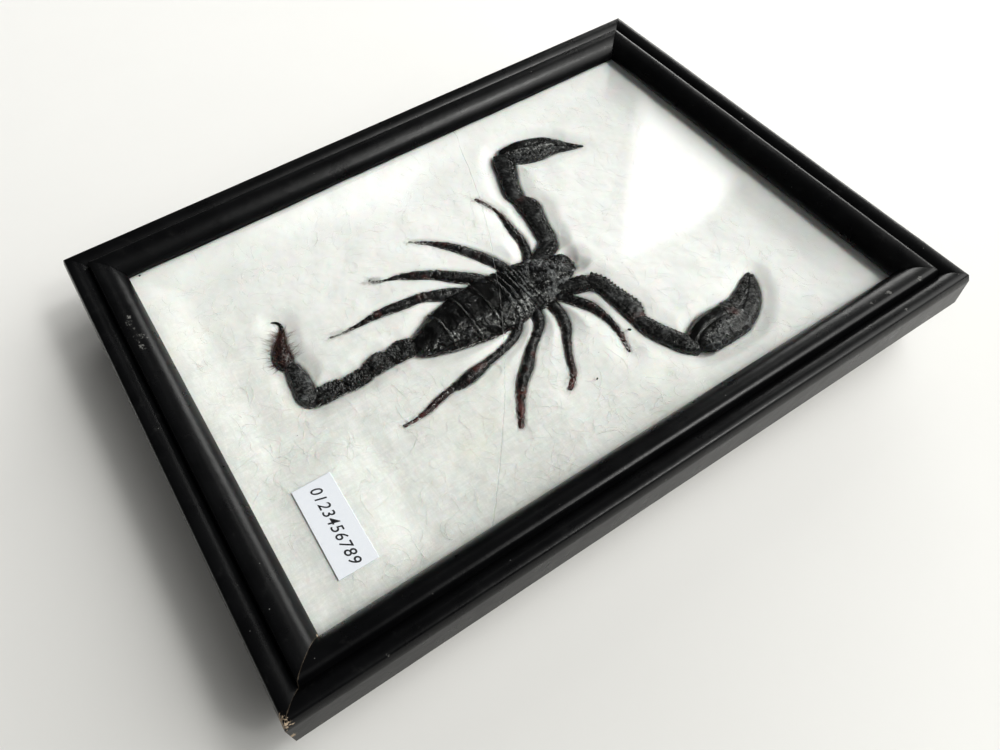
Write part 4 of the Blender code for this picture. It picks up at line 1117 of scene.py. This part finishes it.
def fibres(skins, surface):
    """Loose fibres that lie on the cotton, and wisps that reach over the limbs' edges and tips."""
    x, y, z = surface
    rng = np.random.default_rng(SEED + 1)

    def height(place):
        i = np.clip(((place[..., 0] - x[0, 0]) / COTTON_STEP).astype(int), 0, x.shape[0] - 1)
        j = np.clip(((place[..., 1] - y[0, 0]) / COTTON_STEP).astype(int), 0, x.shape[1] - 1)
        return z[i, j]

    steps = len(FIBRE_RADII)
    t = np.linspace(-0.5, 0.5, steps)[None, :]

    def strand(start, heading, length, lift):
        curl = rng.normal(0, 0.9, (len(start), 1))
        turn = heading[:, None] + curl * t * 2
        move = np.stack([np.cos(turn), np.sin(turn)], -1) * (length[:, None] / steps)[..., None]
        flat = np.cumsum(move, axis=1)
        flat = start[:, None] + flat - flat[:, steps // 2][:, None]
        level = height(flat) + lift[:, None] * (1 - (2 * t) ** 2) + 0.02
        return np.concatenate([flat, np.minimum(level, UNDER_GLASS + 0.1)[..., None]], -1)

    start = np.stack([rng.uniform(-reach, reach, LYING_FIBRES) for reach in FIBRE_FIELD], -1)
    limits = ((0, math.pi), (3, 9), (0.0, 0.25))
    paths = [strand(start, *(rng.uniform(low, high, LYING_FIBRES) for low, high in limits))]
    for skin in skins:
        share = len(skin.centre) // 3
        k = rng.integers(0, len(skin.centre), share)
        side = rng.choice([-1, 1], share)
        way = unit(np.gradient(skin.centre, axis=0)[k, :2])
        out = np.stack([-way[:, 1], way[:, 0]], -1) * side[:, None]
        start = skin.centre[k, :2] + out * (skin.half[k, :1] + rng.uniform(-0.15, 0.6, (share, 1)))
        heading = np.arctan2(way[:, 1], way[:, 0]) + rng.normal(0, 0.6, share)
        lift = skin.centre[k, 2] + (0.30 + skin.sunk[k]) * skin.half[k, 1] - height(start)
        paths.append(strand(start, heading, rng.uniform(1.5, 3.5, share), np.clip(lift, 0, 1.2)))
    for name, (_, rows) in LEGS.items():
        count = TIP_WISPS[name.split("_")[0]]
        tip = set_in(rows[-1][:3])[:2]
        back = set_in(rows[-3][:3])[:2] - tip
        start = tip + rng.uniform(-0.2, 0.9, (count, 1)) * back + rng.normal(0, 0.7, (count, 2))
        over = set_in(rows[-2][:3])[2] + rows[-2][3] + 0.1
        lift = np.clip(over - height(start), 0, 1.5)
        paths.append(strand(start, rng.uniform(0, math.pi, count), rng.uniform(2, 5, count), lift))
    paths = np.concatenate(paths)
    points, quads, ends = tubes(paths, np.broadcast_to(FIBRE_RADII, paths.shape[:2]))
    white = mottled("cotton_fibre", 0.9, 0.006, (0.84, 0.84, 0.82), (0.92, 0.92, 0.90))
    dress("cotton_fibres", mesh_of("cotton_fibres", points * MM, quads, ends), white)


def specks():
    """Crumbs of shell and dirt on the cotton."""
    rng = np.random.default_rng(SEED + 3)
    blobs = Piece()
    for x, y, z, radius in SPECKS:
        way = unit(rng.normal(0, 1, 3) * [1, 1, 0.3])
        places = (np.array((x, y, z)) + way * t * radius for t in (-1.3, 0, 1.3))
        rows = [(*place, radius * 0.8, radius * 0.6) for place in places]
        skin = Skin(rows, step=0.05, around=14, ends=(radius, radius))
        skin.roughen(0.35, 0.35 * radius, 1.0, 401)
        blobs.add(skin, settled=True)
    dark = mottled("speck", 0.7, 0.0003, (0.006, 0.005, 0.005), (0.035, 0.022, 0.015))
    blobs.object("specks", dark)


# Glass, label and frame

def plate(name, outline, thickness):
    """A flat plate across z = 0, cut to an outline of (x, y) points."""
    curve = bpy.data.curves.new(name, "CURVE")
    curve.dimensions = "2D"
    curve.fill_mode = "BOTH"
    curve.extrude = thickness / 2
    spline = curve.splines.new("POLY")
    spline.points.add(len(outline) - 1)
    for point, (x, y) in zip(spline.points, outline):
        point.co = (x, y, 0, 1)
    spline.use_cyclic_u = True
    return curve_mesh(curve)


def curve_mesh(curve):
    """The curve or text as a mesh."""
    obj = put("outline", curve)
    bpy.context.view_layer.update()
    mesh = bpy.data.meshes.new_from_object(obj.evaluated_get(bpy.context.evaluated_depsgraph_get()))
    bpy.data.objects.remove(obj)
    return mesh


def glass():
    """Two panes that meet at a crack whose face leans, so that it shows as a thin line."""
    rng = np.random.default_rng(SEED + 2)
    path = np.array(CRACK) * CRACK_SCALE + CRACK_SHIFT
    length = distances(path)
    at = np.arange(0, length[-1], CRACK_STEP)
    crack = np.stack([np.interp(at, length, path[:, k]) for k in (0, 1)], -1)
    crack += rng.normal(0, CRACK_WANDER, crack.shape)
    material, broken = glass_finish(), crack_finish()
    for name, side in (("glass_left", -1), ("glass_right", 1)):
        low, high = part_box(name)
        outer = low.x if side < 0 else high.x
        edge = [(px * MM + side * CRACK_GAP / 2 * MM, py * MM) for px, py in crack]
        edge[0] = (edge[0][0], high.y)
        edge[-1] = (edge[-1][0], low.y)
        mesh = plate(name, [*edge, (outer, low.y), (outer, high.y)], GLASS_THICKNESS)
        for vertex in mesh.vertices:
            if vertex.co.z < 0 and abs(vertex.co.x - outer) > MM:
                share = 0.5 + 0.5 * math.sin(vertex.co.y / CRACK_WAVE)
                vertex.co.x += MM * (CRACK_SLANT[0] + (CRACK_SLANT[1] - CRACK_SLANT[0]) * share)
        mesh.update()
        pane = "pane_left" if side < 0 else "pane_right"
        mesh.materials.clear()
        obj = dress(pane, mesh, material, [name])
        obj.data.materials.append(broken)
        for face in mesh.polygons:
            inner = low.y + MM < face.center.y < high.y - MM and abs(face.center.x - outer) > MM
            face.material_index = int(inner and abs(face.normal.z) < 0.7)
        mesh.transform(Matrix.Translation((0, 0, GLASS_TOP - GLASS_THICKNESS / 2)))


def refinish(name, material):
    """Gives a node of the CAD another finish."""
    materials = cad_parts[name].data.materials
    materials.clear()
    materials.append(material)


def label():
    paper = mottled("label_paper", 0.72, 0.0009, (0.83, 0.85, 0.93), (0.89, 0.90, 0.96), 6, 0.00005)
    refinish("label", paper)
    low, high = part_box("label")
    text = bpy.data.curves.new("digits", "FONT")
    text.body = LABEL_TEXT
    text.size = DIGIT_SIZE
    text.offset = DIGIT_WEIGHT
    text.shear = DIGIT_SHEAR
    text.align_x = "CENTER"
    text.align_y = "CENTER"
    text.space_character = DIGIT_SPACING
    text.extrude = INK_THICKNESS / 2
    mesh = curve_mesh(text)
    middle = (low + high) / 2
    place = Matrix.Translation((middle.x, middle.y, high.z + INK_THICKNESS))
    mesh.transform(place @ Matrix.Rotation(LABEL_TURN, 4, "Z"))
    ink = mottled("label_ink", 0.5, 0.0004, (0.010, 0.010, 0.013), (0.035, 0.034, 0.040))
    dress("label_digits", mesh, ink)


def moulding():
    """Section of the moulding as (distance in from the outside, height), in metres."""
    section = [(0.0, z) for z in np.linspace(UNDERSIDE, ARRIS, 12)]
    for (across, up), radius, start, end, count in CURVES:
        for angle in np.radians(np.linspace(start, end, count)):
            section.append((across + radius * math.cos(angle), up + radius * math.sin(angle)))
    wall = RAIL_WIDTH - REBATE
    return np.array([*section, (RAIL_WIDTH, LIP_UNDERSIDE), (wall, LIP_UNDERSIDE), (wall, UNDERSIDE)])


def rail(name, turn, length, depth, material):
    """A mitred rail, first made along X with its outer side at -Y."""
    section = moulding()
    share = np.linspace(-1, 1, RAIL_POINTS)[:, None]
    x = share * (length / 2 - section[None, :, 0] - MITRE_GAP / 2)
    y = np.broadcast_to(section[None, :, 0] - depth / 2, x.shape)
    z = np.broadcast_to(section[None, :, 1], x.shape)
    spin = np.array(Matrix.Rotation(math.radians(turn), 3, "Z"))
    points = np.stack([x, y, z], -1) @ spin.T
    wobble = RAIL_WOBBLE * rough(points, 0.012, 301, 3)
    points[..., 2] += np.where(z > ARRIS, wobble, 0) - RAIL_WOBBLE
    mesh = mesh_of(name, *closed_tube(points))
    mesh.set_sharp_from_angle(angle=SHARP_ANGLE)
    return dress(name, mesh, material)


def frame_rails():
    material = paint_finish()
    length, depth = FRAME_SIZE
    for number, name in enumerate(("front", "right", "back", "left")):
        along, across = (depth, length) if number % 2 else (length, depth)
        moulded = rail("moulding_" + name, 90 * number, along, across, material)
        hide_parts("rail_" + name)


def box_boards():
    wood = wood_finish()
    for side in ("front", "back", "left", "right"):
        refinish("box_side_" + side, wood)
    refinish("backing_board", board_finish())


# Stage, light and camera

def stage():
    mesh = bpy.data.meshes.new("table")
    corners = [(x * TABLE_REACH, y * TABLE_REACH, 0) for x, y in ((-1, -1), (1, -1), (1, 1), (-1, 1))]
    mesh.from_pydata(corners, [], [(0, 1, 2, 3)])
    table = put("table", mesh)
    f = Finish("table", Roughness=0.45)
    # Painted light: the table pales towards the far side, with a random cloud mixed in.
    far = f.measure("DOT_PRODUCT", f.place, TABLE_PAINTED_LIGHT_WAY)
    cloud = f.times(f.add(f.noise(0.05, detail=5), -0.5), 0.10)
    painted_light_and_cloud = f.band(f.add(far, cloud), *TABLE_PAINTED_LIGHT_LIMITS)
    f.relief((f.noise(0.004, detail=3), 0.1, 0.0002))
    mesh.materials.append(f.done(f.mix(painted_light_and_cloud, (0.60, 0.595, 0.58), (0.96, 0.955, 0.94))))


def lamp(name, place, size, power):
    """A rectangular lamp that faces the box."""
    light = bpy.data.lights.new(name, "AREA")
    light.shape = "RECTANGLE"
    light.size, light.size_y = size
    light.energy = power
    light.color = ROOM_COLOUR
    obj = put(name, light)
    obj.location = place
    obj.rotation_euler = (-Vector(place)).to_track_quat("-Z", "Y").to_euler()
    return light


def window(name, place, glow, soft, corners):
    """A lamp that glows only inside the outline of its corners, with a soft edge."""
    light = lamp(name, place, (WINDOW_SIZE, WINDOW_SIZE), glow * math.pi * WINDOW_SIZE**2)
    light.use_nodes = True
    n = Nodes(light.node_tree)
    spot = n.node("NewGeometry").outputs["Parametric"]
    inside = 1.0
    for (ax, ay), (bx, by) in zip(corners, corners[1:] + corners[:1]):
        run = math.hypot(bx - ax, by - ay)
        nx, ny = (by - ay) / run, (ax - bx) / run
        start = (nx + ny) * WINDOW_SIZE / 2 + nx * ax + ny * ay
        away = n.measure("DOT_PRODUCT", spot, (nx * WINDOW_SIZE, ny * WINDOW_SIZE, 0))
        inside = n.times(inside, n.band(away, start + soft, start - soft))
    n.set(n.tree.nodes["Emission"], {"Strength": inside})


def lights():
    """A pale room that is brightest to the right and towards the viewer, and dark beyond the far rail."""
    world = bpy.data.worlds.new("studio")
    bpy.context.scene.world = world
    world.use_nodes = True
    n = Nodes(world.node_tree)
    sky = n.node("TexCoord").outputs["Generated"]
    towards = n.measure("DOT_PRODUCT", sky, Vector(BRIGHT_WAY).normalized())
    glow = n.band(towards, *BRIGHT_REACH, *ROOM_GLOW)
    n.set(n.tree.nodes["Background"], {"Color": (*ROOM_COLOUR, 1), "Strength": glow})
    for name, (place, size, power) in LAMPS.items():
        lamp(name, place, size, power)
    for name, settings in WINDOWS.items():
        window(name, *settings)
    bpy.context.scene.view_settings.view_transform = "Standard"
    bpy.context.scene.view_settings.look = "Medium High Contrast"


def camera():
    data = bpy.data.cameras.new("camera")
    data.sensor_width = SENSOR
    data.lens = FOCAL_PIXELS * SENSOR / IMAGE_WIDTH
    data.clip_start = NEAR_CLIP
    obj = put("camera", data)
    axes = Matrix((CAMERA_RIGHT, CAMERA_UP, [-v for v in CAMERA_FORWARD])).transposed()
    obj.matrix_world = Matrix.Translation(CAMERA_AT) @ axes.to_4x4()
    bpy.context.scene.camera = obj


camera()
lights()
stage()
frame_rails()
box_boards()
limbs = scorpion()
surface = cotton(limbs)
fibres(limbs, surface)
specks()
label()
glass()
